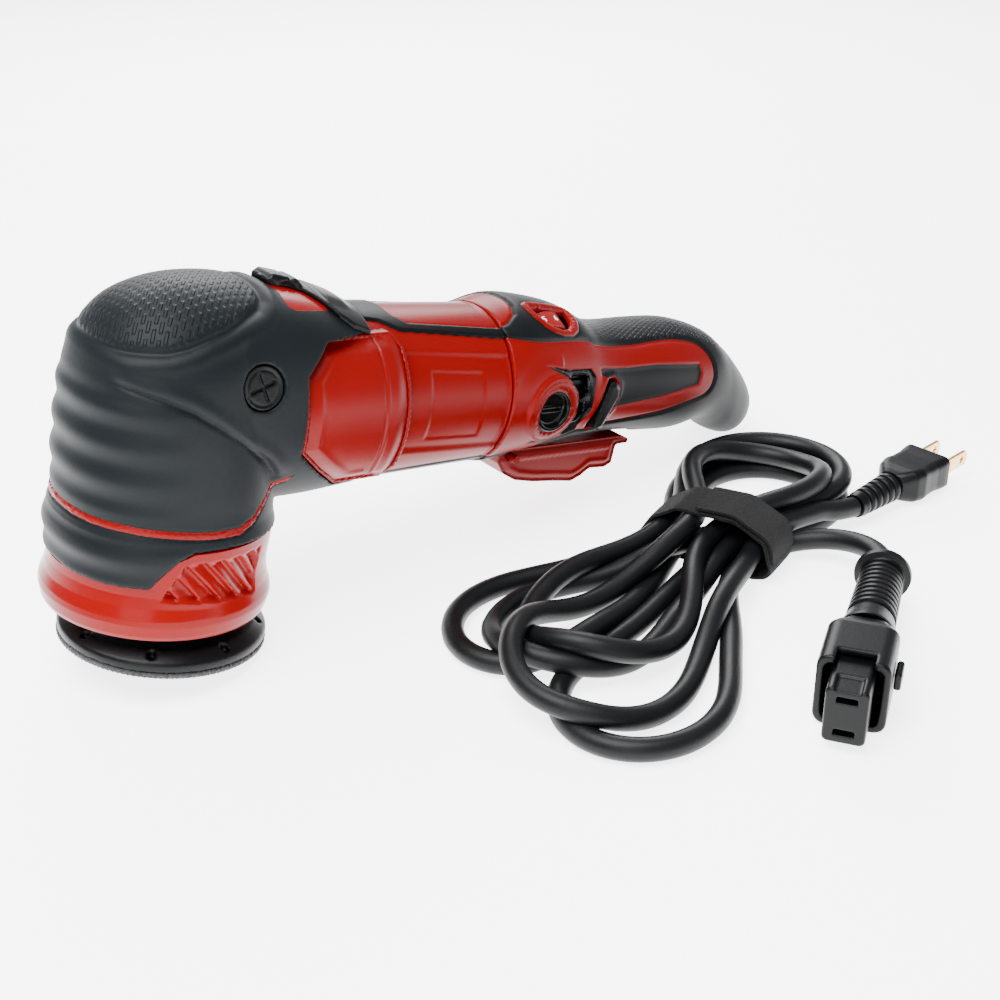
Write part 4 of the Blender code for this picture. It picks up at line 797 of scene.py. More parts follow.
def makeBoot():
    skin = bootBody()
    combine(skin, turned("hollow", boot["hollow"], steps=96))
    combine(skin, rod("bore", 28.0, 0, 70, axis="x", at=(0, 0, motorHeight), steps=96))
    combine(skin, prism("under", [(-80, 0)] + boot["skirt"] + [(80, 0)], -60, 60))
    for side, _ in sides:
        combine(skin, sidePrism("seat", grown(panelOutline, seatGap), side, 12, 60))
        combine(skin, rod("capSeat", cap["radius"] + seatGap, -3, 12, steps=64, toWorld=inCap(side)))
    remeshed(skin, boot["grain"], 5)

    def depth(p, n):
        outer = ramp((n[:, 0] * p[:, 0] + n[:, 1] * p[:, 1]) / (np.hypot(p[:, 0], p[:, 1]) + 1e-6)
                     + (p[:, 2] > 100) + (p[:, 0] > 30), -0.1, 0.3)
        around, flat = roundHead(p), sideways(p)
        s, z = around[:, 0], p[:, 2]
        head = 1 - ramp(p[:, 0], 24, 34)
        ribs = np.cos(2 * math.pi * (z - boot["ribTop"]) / boot["ribPitch"])
        ribs = ribs * boot["ribDepth"] * ramp(z, 52, 57) * (1 - ramp(z, 88, 96)) * (1 - ramp(s, 22, 52))
        crease = lineDistance(around, boot["crease"])
        fade = ramp(s, 17, 27) * (1 - ramp(s, 78, 84))
        line = alongLine(s, boot["crease"])
        fold = fade * (-0.95 * bumpAt(crease, 0, 1.0) + 0.55 * bumpAt(z - line, 3.2, 2.4)
                       - 0.35 * (1 - ramp(line - z, 0, 9)) * (z < line))
        dome = insideBy(flat, boot["dome"])
        rim = -0.95 * bumpAt(dome, 0, 1.1) + 0.75 * bumpAt(dome, -3.6, 2.2)
        rim = rim * ramp(p[:, 0], -34, -24)
        trimZ = alongLine(s, boot["trim"])
        trim = abs(z - trimZ) - boot["trimWidth"] / 2
        band = (bumpAt(trim, 0, 0.35) * -0.5 + 0.25 * (trim < -0.3)
                - 0.35 * bumpAt(z, trimZ, 0.3)) * (s < 84) * (1 - ramp(p[:, 0], 30, 33))
        wave = 0.35 * np.cos(2 * math.pi * (z - 40.5) / 9) * (z < 47) * (1 - ramp(s, 20, 60))
        return outer * (head * (ribs + fold + rim) + band + wave)

    sculpt(skin, depth)

    def trimMask(p):
        s, z = roundHead(p)[:, 0], p[:, 2]
        trimZ = alongLine(s, boot["trim"])
        away = np.minimum(boot["trimWidth"] / 2 - abs(z - trimZ), 84 - s)
        return np.minimum(away, 31.5 - p[:, 0])

    def leafMask(p):
        plan = np.stack([p[:, 0], abs(p[:, 1])], 1)
        return np.minimum(insideBy(plan, boot["leaf"]), p[:, 2] - 100)

    paint(skin, trim=trimMask, leaf=leafMask,
          dome=lambda p: insideBy(sideways(p), boot["dome"]))
    finished(skin, "boot_skin", "bootRubber", "head_boot", "lower_band", "trim_ring")


def makeClip():
    # the plate over the neck's top, which widens towards the motor, with a bump at its front
    necks = splined(boot["neck"], 4.0)
    clip = ringsToMesh("clip", [sectionAtX(*row, inset=-1.7) for row in necks])
    rows = [(necks[0][0] - 4, *necks[0][1:])] + list(necks) + [(necks[-1][0] + 4, *necks[-1][1:])]
    inner = ringsToMesh("clipInner", [sectionAtX(*row, inset=0.15) for row in rows])
    combine(clip, inner)
    half = boot["clip"][1:-1]
    outline = half + [(x, -y) for x, y in half[::-1]]
    combine(clip, prism("clipPlan", outline, 95, 140, plane="xy"), "INTERSECT")
    remeshed(clip, 0.4, 4)

    def depth(p, n):
        top = ramp(n[:, 2], 0.2, 0.7)
        x, y = p[:, 0], abs(p[:, 1])
        bump = 1.9 * ramp(x, 29, 31.5) * (1 - ramp(x, 40, 44.5)) * (1 - ramp(y, 4.4, 6.4))
        second = 0.9 * ramp(x, 47.5, 49) * (1 - ramp(x, 55, 60)) * (1 - ramp(y, 9, 15))
        notch = -0.8 * bumpAt(x, 38.4, 0.7) * (y < 5)
        return top * (bump + second + notch)

    sculpt(clip, depth)
    finished(clip, "neck_clip_skin", "blackSatin", "neck_clip")


def makeCaps():
    for side, name in sides:
        toWorld = inCap(side)
        r = cap["radius"]
        profile = denser([(thin, 1.3), (r - 2.2, 1.3), (r - 1.4, 0.9), (r - 0.9, 1.5), (r - 0.3, 1.5),
                          (r, 1.0), (r, -2.4), (thin, -2.4)], 0.5)
        piece = turned("cap", profile, steps=96, toWorld=toWorld)
        for lean in (0.35, 0.35 + math.pi / 2):
            c, s = math.cos(lean), math.sin(lean)
            bar = [(-5.0, -0.55), (5.0, -0.55), (5.0, 0.55), (-5.0, 0.55)]
            turnedBar = [(x * c - y * s, x * s + y * c) for x, y in bar]
            combine(piece, prism("slot", turnedBar, 0.3, 3.0, "xy", toWorld))
        remeshed(piece, 0.3, 2)
        finished(piece, "boot_cap_skin_" + name, "blackSatin", "boot_cap_" + name)


def makePanels():
    for side, name in sides:
        panel = turned("panel", [(31.45, 25), (34.1, 25), (34.1, 80), (31.45, 80)], axis="x",
                       at=(0, 0, motorHeight), steps=200)
        combine(panel, sidePrism("panelCut", panelOutline, side, 10, 60), "INTERSECT")
        remeshed(panel, 0.45, 3)

        def depth(p, n):
            flat = sideways(p)
            inside = insideBy(flat, panelOutline)
            outside = ramp(n[:, 1] * side, 0.0, 0.3)
            bevel = -1.3 * (1 - ramp(inside, 0.3, 4.6)) * (1 - ramp(flat[:, 0], 66, 70))
            ridge = 0.35 * bumpAt(inside, 5.2, 1.1) * (flat[:, 0] < 60)
            seam = -0.45 * bumpAt(flat[:, 0], 62.7, 0.3)
            lip = 0.25 * bumpAt(flat[:, 0], 63.6, 0.6)
            slope = -1.6 * ramp(flat[:, 0], 67, 73.5)
            return outside * (bevel + ridge + seam + lip + slope)

        sculpt(panel, depth)
        finished(panel, "side_panel_skin_" + name, "redSatin", "side_panel_" + name)


# Motor housing

# outlines on the unrolled housing: along the motor, and up from the side
motor = {"rail": [(55, 62), (55, 36.8), (66, 36.6), (70, 35.6), (76.6, 30.8), (122.5, 25.6), (122.5, 30.5),
                  (81.5, 34.6), (77.2, 38.6), (76.4, 62)],
         "belly": [(55, -70), (55, -25), (64, -24.6), (69, -28), (122.5, -27.2), (122.5, -70)],
         "recess": [(75.5, 22.6), (123, 19.0), (123, -19.0), (73.4, -14.2), (71.5, -7), (71.5, 15)],
         "label": [(85.5, 15.5), (108.6, 13.6), (109.4, -12.6), (84.8, -10.6)]}


def makeMotor():
    profile = denser([(29.4, 121.2), (31.1, 63.2), (27.7, 63.2), (27.7, 46.5), (25.0, 46.5),
                      (25.0, 68.0), (27.3, 71.7), (27.3, 121.2)], 0.62)
    housing = turned("motor", profile[::-1], axis="x", at=(0, 0, motorHeight), steps=320)

    def depth(p, n):
        radius = np.hypot(p[:, 1], p[:, 2] - motorHeight)
        outwards = (n[:, 1] * p[:, 1] + n[:, 2] * (p[:, 2] - motorHeight)) / radius
        outer = (radius > 28.6) * ramp(outwards, 0.3, 0.7)
        flat = unrolled(p)
        rail, recess = insideBy(flat, motor["rail"]), insideBy(flat, motor["recess"])
        belly, label = insideBy(flat, motor["belly"]), insideBy(flat, motor["label"])
        step = 0.9 * ramp(rail, -0.4, 0.5) + 0.35 * ramp(belly, -0.3, 0.4)
        groove = -0.55 * bumpAt(rail, 0, 0.35) - 0.4 * bumpAt(belly, 0, 0.35)
        low = -1.05 * ramp(recess, -1.4, 1.4)
        mark = -0.4 * ramp(label, -0.35, 0.35)
        lip = 0.3 * bumpAt(p[:, 0], 120.2, 0.7) + 0.3 * bumpAt(p[:, 0], 64.2, 0.7)
        return outer * (step + groove + low + mark + lip)

    sculpt(housing, depth)
    paint(housing, black=lambda p: np.maximum(insideBy(unrolled(p), motor["rail"]),
                                              insideBy(unrolled(p), motor["belly"])))
    finished(housing, "motor_housing_skin", "redHousing", "motor_housing")


# Handle: one skin for its shells, grip, belly and tail

handle = {"grain": 0.6,
          "sections": [(121.8, 110.1, 51.1, 29.4), (133.0, 112.8, 51.8, 29.0),
                       (148.0, 111.2, 53.6, 27.6), (161.0, 108.0, 55.4, 26.2),
                       (173.0, 102.4, 56.6, 25.0), (187.0, 99.6, 57.0, 24.4),
                       (209.0, 100.0, 55.4, 24.0), (225.0, 99.6, 55.0, 23.4),
                       (240.0, 96.2, 58.0, 22.2), (250.0, 91.0, 54.6, 20.4),
                       (258.0, 85.4, 50.0, 18.6), (266.5, 78.4, 48.0, 16.0),
                       (273.0, 71.6, 51.6, 12.0), (276.6, 66.0, 57.6, 6.5)],
          # outlines seen from the side, as x and z
          "red": [(118, 103.6), (136.6, 101.7), (159.5, 100.1), (167.6, 97.7), (178.5, 95.8),
                  (191.5, 95.3), (203.2, 95.9), (215.2, 96.0), (226.6, 94.0), (232.2, 89.5),
                  (234.5, 83.5), (233.6, 78.0), (230.0, 74.6), (218.8, 71.8), (205.7, 68.9),
                  (185.5, 66.8), (174.9, 66.1), (167.4, 65.1), (159.7, 62.0), (150.9, 58.5),
                  (142.0, 56.6), (118, 56.6)],
          "inlay": [(168.1, 89.5), (183.1, 88.5), (200.6, 88.6), (225.1, 87.3), (226.5, 84.4),
                    (225.3, 79.3), (203.9, 75.8), (182.3, 73.9), (176.7, 73.6), (178.6, 76.7),
                    (178.4, 82.3), (174.8, 84.7), (168.6, 87.3)],
          "vent": [(136.6, 94.0), (149.0, 91.3), (161.8, 90.6), (165.0, 87.0), (165.6, 74.0), (161.6, 67.4),
                   (154.0, 63.4), (145.5, 61.6), (135.2, 62.6), (140.0, 64.6), (150.0, 66.0),
                   (153.4, 70.0), (154.6, 76.0), (153.0, 83.0), (147.0, 89.4)],
          "openings": ([(151.4, 88.6), (160.6, 88.0), (161.6, 81.6), (159.4, 79.6), (156.4, 80.6)],
                       [(157.4, 77.0), (161.4, 77.4), (161.2, 72.4), (158.4, 69.2), (156.8, 72.6)]),
          "baffle": [(147.5, 92.0), (163.4, 91.4), (166.5, 87), (166.5, 73), (161, 65), (155, 63.5),
                     (151, 68), (154, 76)],
          "strip": [(118, -1), (118, 15.4), (124.5, 15.6), (129.0, 13.2), (131.0, 9.0), (131.6, 4.0),
                    (131.6, -1)],
          "grip": [(160, 104), (175, 98.5), (190, 96.5), (225, 96.5), (245, 90), (262, 80)],
          "boss": (142.0, 77.0), "bossRadius": 11.6, "bore": 9.0,
          "lever": [(172.2, 84.6), (175.6, 85.0), (178.3, 82.3), (178.3, 78.4), (171.6, 65.8),
                    (168.0, 65.4), (166.9, 67.6), (168.1, 72.0)],
          "pocket": ((131.8, -14.1, 20.0), (203.5, 14.1, 63.5)),
          "inlet": ((252.0, -10.6, 59.7), (290.0, 10.6, 75.3))}
dial = {"frame": (148.0, 0.0, 82.5), "roll": math.radians(28.4), "height": 19.6, "radius": 9.0,
        "halfWidth": 4.2, "numbers": 6}


def inDial(points):
    c, s = math.cos(dial["roll"]), math.sin(dial["roll"])
    points = np.asarray(points, float)
    turnedPoints = np.stack([points[:, 0], points[:, 1] * c - points[:, 2] * s,
                             points[:, 1] * s + points[:, 2] * c], 1)
    return fromTool(turnedPoints + np.array(dial["frame"]))


def toDial(p):
    # the reverse: tool places in the dial's own frame
    c, s = math.cos(dial["roll"]), math.sin(dial["roll"])
    q = p - np.array(dial["frame"])
    return np.stack([q[:, 0], q[:, 1] * c + q[:, 2] * s, -q[:, 1] * s + q[:, 2] * c], 1)


windowShape = [(-9.6, 5.4), (-10.6, 4.6), (-10.4, 2.6), (-9.0, -0.9), (-6.2, -4.2), (-2.6, -6.1),
               (1.4, -6.8), (5.2, -6.5), (8.4, -4.7), (10.3, -1.4), (10.9, 2.2), (10.7, 4.6), (9.7, 5.4)]


def handleRings(inset=0.0, start=0, end=300):
    rows = splined(handle["sections"], 2.5)
    return [sectionAtX(*row, inset=inset) for row in rows if start < row[0] < end]


def redDistance(p):
    flat = sideways(p)
    side = insideBy(flat, splined([(*q, 0) for q in handle["red"]], 2.5)[:, :2])
    plan = np.stack([p[:, 0], abs(p[:, 1])], 1)
    top = np.minimum(insideBy(plan, handle["strip"]), p[:, 2] - 100)
    return np.maximum(side, top)


def makeHandle():
    skin = ringsToMesh("handle", handleRings())
    combine(skin, ringsToMesh("inside", handleRings(2.6, 123, 236)))
    combine(skin, ringsToMesh("open", [sectionAtX(x, *handle["sections"][0][1:], inset=3.2)
                                       for x in (112, 126)]))
    combine(skin, block("pocket", *handle["pocket"]))
    combine(skin, block("inlet", *handle["inlet"]))
    x, z = handle["boss"]
    for side, _ in sides:
        low, high = sorted((side * 15, side * 40))
        combine(skin, rod("bore", handle["bore"], low, high, axis="y", at=(x, 0, z), steps=72))
        for hole in handle["openings"]:
            combine(skin, prism("opening", hole, low, high))
    combine(skin, prism("leverSlot", grown(handle["lever"], 0.3), -40, -15))
    combine(skin, prism("window", windowShape, 14, 40, "xy", inDial))
    remeshed(skin, handle["grain"], 4)

    def depth(p, n):
        flat = sideways(p)
        outwards = ramp(np.sign(p[:, 1]) * n[:, 1] + (abs(p[:, 1]) < 8) * n[:, 2], -0.05, 0.25)
        top = ramp(n[:, 2], -0.1, 0.3)
        outer = np.maximum(outwards, top) * (p[:, 2] > 40)
        red = redDistance(p)
        inlay, vent = insideBy(flat, handle["inlay"]), insideBy(flat, handle["vent"])
        lever = insideBy(flat, handle["lever"])
        groove = -0.6 * bumpAt(red, 0, 0.5) - 0.45 * bumpAt(inlay, 0, 0.45)
        proud = 0.5 * ramp(-red, 0.2, 1.6) * (1 - ramp(p[:, 0], 236, 250))
        sunk = -0.8 * ramp(inlay, -0.2, 1.2) - 1.0 * ramp(vent, -0.3, 0.8)
        away = np.hypot(flat[:, 0] - handle["boss"][0], flat[:, 1] - handle["boss"][1])
        boss = 2.7 * (1 - ramp(away, handle["bossRadius"], handle["bossRadius"] + 3.2))
        spread = 1.1 * (1 - ramp(away, 12, 22)) * (flat[:, 0] < 146)
        ring = -0.5 * bumpAt(away, 11.4, 0.4)
        rim = 0.8 * bumpAt(lever, -1.8, 1.4) * (p[:, 1] < 0)
        local = toDial(p)
        bezel = insideBy(local[:, :2], windowShape)
        surround = 0.6 * ramp(bezel, -2.6, -1.8) * (local[:, 2] > 15)
        waist = -0.5 * bumpAt(bezel, -2.2, 0.35) * (local[:, 2] > 15)
        return outer * (groove + proud + sunk + np.maximum(boss, spread) + ring + rim + surround + waist)

    sculpt(skin, depth)

    def blackMask(p):
        flat = sideways(p)
        local = toDial(p)
        bezel = np.where(local[:, 2] > 15, insideBy(local[:, :2], windowShape) + 2.2, -9)
        black = np.maximum.reduce([-redDistance(p), insideBy(flat, handle["inlay"]),
                                   insideBy(flat, handle["vent"])])
        away = np.hypot(flat[:, 0] - handle["boss"][0], flat[:, 1] - handle["boss"][1])
        rim = np.maximum(11.4 - away, insideBy(flat, handle["lever"]) + 1.5 - 9 * (p[:, 1] > 0))
        return np.minimum(black, -np.maximum(bezel, rim))

    def gripMask(p):
        above = p[:, 2] - alongLine(p[:, 0], handle["grip"])
        return np.minimum.reduce([above, p[:, 0] - 164, 262 - p[:, 0]])

    paint(skin, black=blackMask, grip=gripMask, gloss=lambda p: insideBy(sideways(p), handle["vent"]))
    finished(skin, "handle_skin", "handleShell", "handle_shell_right", "handle_shell_left", "top_grip",
             "belly_cover", "tail_cap")


def makeVents():
    # dark baffles behind the two openings of each side
    for side, name in sides:
        plate = sidePrism("vent", handle["baffle"], side, 19.5, 22.5)
        for k in range(5):
            z = 68 + 4.4 * k
            combine(plate, sidePrism("louvre", [(148, z), (163.6, z), (163.6, z + 2), (148, z + 2)],
                                     side, 21.4, 30))
        remeshed(plate, 0.4, 1)
        finished(plate, "vent_insert_skin_" + name, "blackSatin", "vent_insert_" + name)


def makeBrushCaps():
    for side, name in sides:
        x, z = handle["boss"]
        profile = [(thin, 24.6), (8.5, 24.6), (8.5, 29.2), (8.0, 29.8), (7.0, 29.9), (6.6, 29.4),
                   (6.2, 27.6), (thin, 27.4)]
        profile = [(r, side * h) for r, h in denser(profile, 0.4)]
        piece = turned("cap", profile, axis="y", at=(x, 0, z), steps=96)
        bar = [(-5.6, -0.9), (5.6, -0.9), (5.6, 0.9), (-5.6, 0.9)]
        combine(piece, sidePrism("slot", [(x + a, z + b) for a, b in bar], side, 26.4, 31))
        remeshed(piece, 0.32, 2)
        finished(piece, "brush_cap_skin_" + name, "blackGloss", "brush_cap_" + name)


def makeLever():
    outline = handle["lever"]
    lever = prism("lever", grown(outline, -0.35), -26.6, -18.6)
    remeshed(lever, 0.35, 3)

    def depth(p, n):
        inside = insideBy(sideways(p), outline)
        return (n[:, 1] < -0.3) * (0.9 * ramp(inside, 0.2, 2.4) - 0.4)

    sculpt(lever, depth)
    finished(lever, "lock_button_skin", "blackSatin", "lock_button", body="lock_button")


def makeDial():
    # the wheel stands on its axle, with a ribbed rim and plain numbers 1 to 6
    r, half, up = dial["radius"], dial["halfWidth"], dial["height"]
    steps = 288
    rings = []
    profile = denser([(thin, -half), (r - 0.5, -half), (r, -half + 0.5), (r, half - 0.5), (r - 0.5, half),
                      (thin, half)], 0.7)
    for k in range(steps):
        angle = 2 * math.pi * k / steps
        c, s = math.cos(angle), math.sin(angle)
        grip = 0.22 * (0.5 + 0.5 * math.cos(angle * 48))
        cut = [(q - grip * (abs(h) > half - 1.3) * (q > r - 1), h) for q, h in profile]
        rings.append([(q * c, h, up + q * s) for q, h in cut])
    wheel = ringsToMesh("wheel", rings, toWorld=inDial, loop=True)
    finished(wheel, "speed_dial_skin", "dialFace", "speed_dial", body="dial", sharp=40)
    for number in range(1, dial["numbers"] + 1):
        angle = math.radians(-22 + 34 * (number - 5))
        face = bpy.data.curves.new("number", "FONT")
        face.body, face.size, face.extrude = str(number), 3.8 * mm, 0.06 * mm
        face.align_x, face.align_y = "CENTER", "CENTER"
        face.resolution_u = 3
        text = placed("dial_number_" + str(number), face)
        normal = Vector((math.sin(angle), 0, math.cos(angle)))
        spot = Vector((0, 0, up)) + normal * (r + 0.02)
        across = Vector((math.cos(angle), 0, -math.sin(angle)))
        turn = Matrix((across, Vector((0, 1, 0)), normal)).transposed().to_4x4()
        roll = Matrix.Rotation(dial["roll"], 4, "X")
        place = toolMatrix @ Matrix.Translation(Vector(dial["frame"]) * mm) @ roll
        text.matrix_world = place @ Matrix.Translation(spot * mm) @ turn
        flat = bpy.data.meshes.new_from_object(text.evaluated_get(bpy.context.evaluated_depsgraph_get()))
        bm = bmesh.new()
        bm.from_mesh(flat)
        bmesh.ops.remove_doubles(bm, verts=bm.verts, dist=1e-6)
        bmesh.ops.transform(bm, matrix=text.matrix_world, verts=bm.verts)
        bm.to_mesh(flat)
        bm.free()
        solid = placed("dial_number_" + str(number), flat)
        bpy.data.objects.remove(text, do_unlink=True)
        flat.materials.clear()
        flat.materials.append(finishes["dialInk"])
        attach(solid, "dial")
    # the bezel: a rim that follows the window
    rim = prism("rim", grown(windowShape, -0.15), 25.2, 27.4, "xy", inDial)
    combine(rim, prism("hole", grown(windowShape, -1.3), 15, 40, "xy", inDial))
    remeshed(rim, 0.35, 2)
    finished(rim, "dial_bezel_skin", "redGloss", "dial_bezel")


# Pad, shroud and trigger

def ringGrid(name, profileAt, steps):
    rings = []
    for k in range(steps):
        angle = 2 * math.pi * k / steps
        rings.append([(r * math.cos(angle), r * math.sin(angle), h) for r, h in profileAt(angle)])
    return ringsToMesh(name, rings, loop=True)


# the skirt's outline, as share of height and radius, and its inside, as radius and height
shroud = {"bottom": 13.7,
          "outer": [(0.0, 37.0), (0.08, 37.7), (0.30, 38.5), (0.42, 38.2), (0.62, 37.0), (0.85, 36.3),
                    (1.0, 36.2)],
          "inner": [(33.4, 31), (34.2, 24), (34.6, 17), (34.4, 13.7)]}


def makeShroud():
    count = 62
    bottom = shroud["bottom"]

    def profileAt(angle):
        top = float(alongLine(36.5 * math.cos(angle), boot["skirt"])) - 0.3
        degrees = -abs(math.degrees(math.atan2(math.sin(angle), math.cos(angle))))
        points = []
        for t in np.linspace(0, 1, count):
            z = bottom + (top - bottom) * t
            r = float(alongLine(min(1.0, (z - bottom) / 17.3), shroud["outer"]))
            if z > 31:
                r = float(np.interp(z, (31, 44), (36.2, 37.3)))
            points.append((r - louvreDepth(degrees, z, top), z))
        return points + [(33.4, top)] + shroud["inner"]

    def louvreDepth(degrees, z, top):
        start = float(np.interp(z, (26, 41), (-116.5, -103.5)))
        end = float(np.interp(z, (24, 41), (-57.0, -54.5)))
        edge = min(degrees - start, end - degrees) / 2.2
        upper = (min(top - 2.6, 40.6) - z) / 1.3
        lower = (z - float(np.interp(degrees, (-114, -56), (27.4, 24.0)))) / 1.3
        inside = max(0.0, min(1.0, edge, upper, lower))
        across = (degrees + (z - 30) * 1.5 + 120) / 10.6
        saw = across - math.floor(across)
        return inside * (0.4 + 1.7 * float(ramp(saw, 0.0, 0.86) - ramp(saw, 0.86, 1.0)))

    piece = ringGrid("shroud", profileAt, 720)
    finished(piece, "pad_shroud_skin", "redGloss", "pad_shroud", sharp=50)


pad = {"orbit": 4.0, "orbitTurn": math.radians(-62), "holes": 8, "holeCircle": 31.6}


def makePad():
    at = (pad["orbit"] * math.cos(pad["orbitTurn"]), pad["orbit"] * math.sin(pad["orbitTurn"]), 0)
    plate = turned("plate", denser([(thin, 10.0), (22.0, 10.0), (30.5, 8.4), (34.6, 5.4), (35.0, 4.4),
                                    (34.8, 2.1), (thin, 2.1)], 0.9), at=at, steps=240)
    for k in range(pad["holes"]):
        angle = math.radians(360 / pad["holes"] * k + 12)
        spot = (at[0] + pad["holeCircle"] * math.cos(angle), at[1] + pad["holeCircle"] * math.sin(angle), 0)
        combine(plate, rod("hole", 1.5, 5.2, 14, at=spot, steps=24))
    remeshed(plate, 0.55, 2)
    combine(plate, rod("bore", 7.6, -1, 14, at=at, steps=64))
    finished(plate, "backing_plate_skin", "blackSatin", body="pad", sharp=45)
    hub = cadCopy("backing_plate")
    combine(hub, rod("keep", 13, 8.0, 40, at=at, steps=64), "INTERSECT")
    finished(hub, "backing_plate_hub", "alloy", body="pad", sharp=30)
    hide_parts("backing_plate")
    disc = turned("disc", denser([(thin, 0.0), (34.4, 0.0), (34.9, 0.4), (34.9, 1.5), (34.4, 1.8),
                                  (thin, 1.8)], 0.8), at=at, steps=420)

    def fuzz(p, n):
        x, y = p[:, 0] - at[0], p[:, 1] - at[1]
        angle = np.arctan2(y, x)
        return (np.hypot(y, x) > 34) * 0.22 * np.sin(angle * 160) * np.sin(p[:, 2] * 3 + angle * 37)

    sculpt(disc, fuzz)
    finished(disc, "hook_disc_skin", "hookFabric", "hook_disc", body="pad")


trigger = {"outline": [(133.6, 55.6), (133.4, 50.6), (137.0, 45.8), (143.0, 42.7), (152.0, 41.0),
                       (163.0, 40.0), (173.0, 38.8), (178.0, 40.8), (182.0, 43.4), (190.0, 43.0),
                       (193.8, 44.6), (194.4, 52.4), (200.8, 52.6), (201.0, 54.4), (197.0, 56.0)]}


def makeTrigger():
    paddle = cadCopy("trigger")
    remeshed(paddle, 0.55, 4)

    def depth(p, n):
        flat = sideways(p)
        face = ramp(abs(n[:, 1]), 0.5, 0.9)
        inside = insideBy(flat, trigger["outline"])
        return (-1.2 * (1 - ramp(inside, 0.5, 3.0)) - 0.4 * (flat[:, 1] < 51) * ramp(inside, 3, 5)) * face

    sculpt(paddle, depth)
    finished(paddle, "trigger_skin", "redSatin", "trigger", body="trigger")


# The strap, plug and connector

def makeStrap():
    held = (abs(cordLine[:, 0]) < hank["strapHalf"]) & (cordLine[:, 1] < hank["strapSides"][1])
    inside = cordLine[held][:, 1:]
    reach = hank["thickness"] / 2 + hank["strapThick"]
    outline = []
    for angle in np.linspace(0, 2 * math.pi, 180, endpoint=False):
        way = np.array([math.cos(angle), math.sin(angle)])
        outline.append(inside[np.argmax(inside @ way)] + reach * way)
    line = evenly(np.array(outline + outline[:1]), 1.2)[:-1]
    widths = np.linspace(-hank["strapHalf"], hank["strapHalf"], 22)
    count = len(line)
    tangent = np.roll(line[:, :2], -1, 0) - np.roll(line[:, :2], 1, 0)
    normal = np.stack([tangent[:, 1], -tangent[:, 0]], 1)
    normal /= np.linalg.norm(normal, axis=1, keepdims=True)
    along = np.linspace(0, 2 * math.pi, count, endpoint=False)
    rings = []
    for k in range(count):
        edge = 0.35 * math.sin(along[k] * 5 + 0.6) + 0.25 * math.sin(along[k] * 11)
        upper = [(w + edge, *(line[k, :2] + normal[k] * (0.0 - 0.25 * abs(w / 10) ** 6))) for w in widths]
        lower = [(w + edge, *(line[k, :2] - normal[k] * hank["strapThick"])) for w in widths[::-1]]
        rings.append(upper + lower)
    strap = ringsToMesh("strap", [[(a, b, max(c, 0.3)) for a, b, c in ring] for ring in rings],
                        toWorld=hankToWorld, loop=True)
    flap = []
    start = int(count * 0.02)
    reach = count * 0.30
    for k in range(start, start + int(reach)):
        t = (k - start) / reach
        point = line[k % count, :2] + normal[k % count] * 1.3 * (0.25 + 0.75 * min(1, t * 8))
        narrow = 1 - 0.25 * float(ramp(t, 0.93, 1.0))
        upper = [(w * 0.93 * narrow + 0.4, *(point + normal[k % count] * 0.55)) for w in widths]
        lower = [(w * 0.93 * narrow + 0.4, *(point - normal[k % count] * 0.55)) for w in widths[::-1]]
        flap.append(upper + lower)
    tongue = ringsToMesh("flap", flap, toWorld=hankToWorld)
    for piece, name, replaced in ((strap, "strap_skin", ("cord_strap",)), (tongue, "strap_flap", ())):
        finished(piece, name, "strapTape", *replaced, sharp=50)


def headingFrame(start, height, heading):
    c, s = math.cos(heading), math.sin(heading)

    def toWorld(points):
        points = np.asarray(points, float)
        return np.stack([start[0] + c * points[:, 0] - s * points[:, 1],
                         start[1] + s * points[:, 0] + c * points[:, 1], height + points[:, 2]], 1) * mm
    return toWorld


def roundedBox(halfY, halfZ, radius, steps=6):
    points = []
    for corner, (sy, sz) in enumerate(((1, 1), (-1, 1), (-1, -1), (1, -1))):
        for k in range(steps):
            turn = math.pi / 2 * (corner + k / (steps - 1))
            points.append((sy * (halfY - radius) + radius * math.cos(turn),
                           sz * (halfZ - radius) + radius * math.sin(turn)))
    return points


def loftedBoxes(name, stations, toWorld):
    return ringsToMesh(name, [[(x, y, z) for y, z in roundedBox(hy, hz, min(r, hy - 0.01, hz - 0.01))]
                              for x, hy, hz, r in stations], toWorld=toWorld)


plug = {"heading": math.radians(5), "height": 8.2, "bladeApart": 12.7}


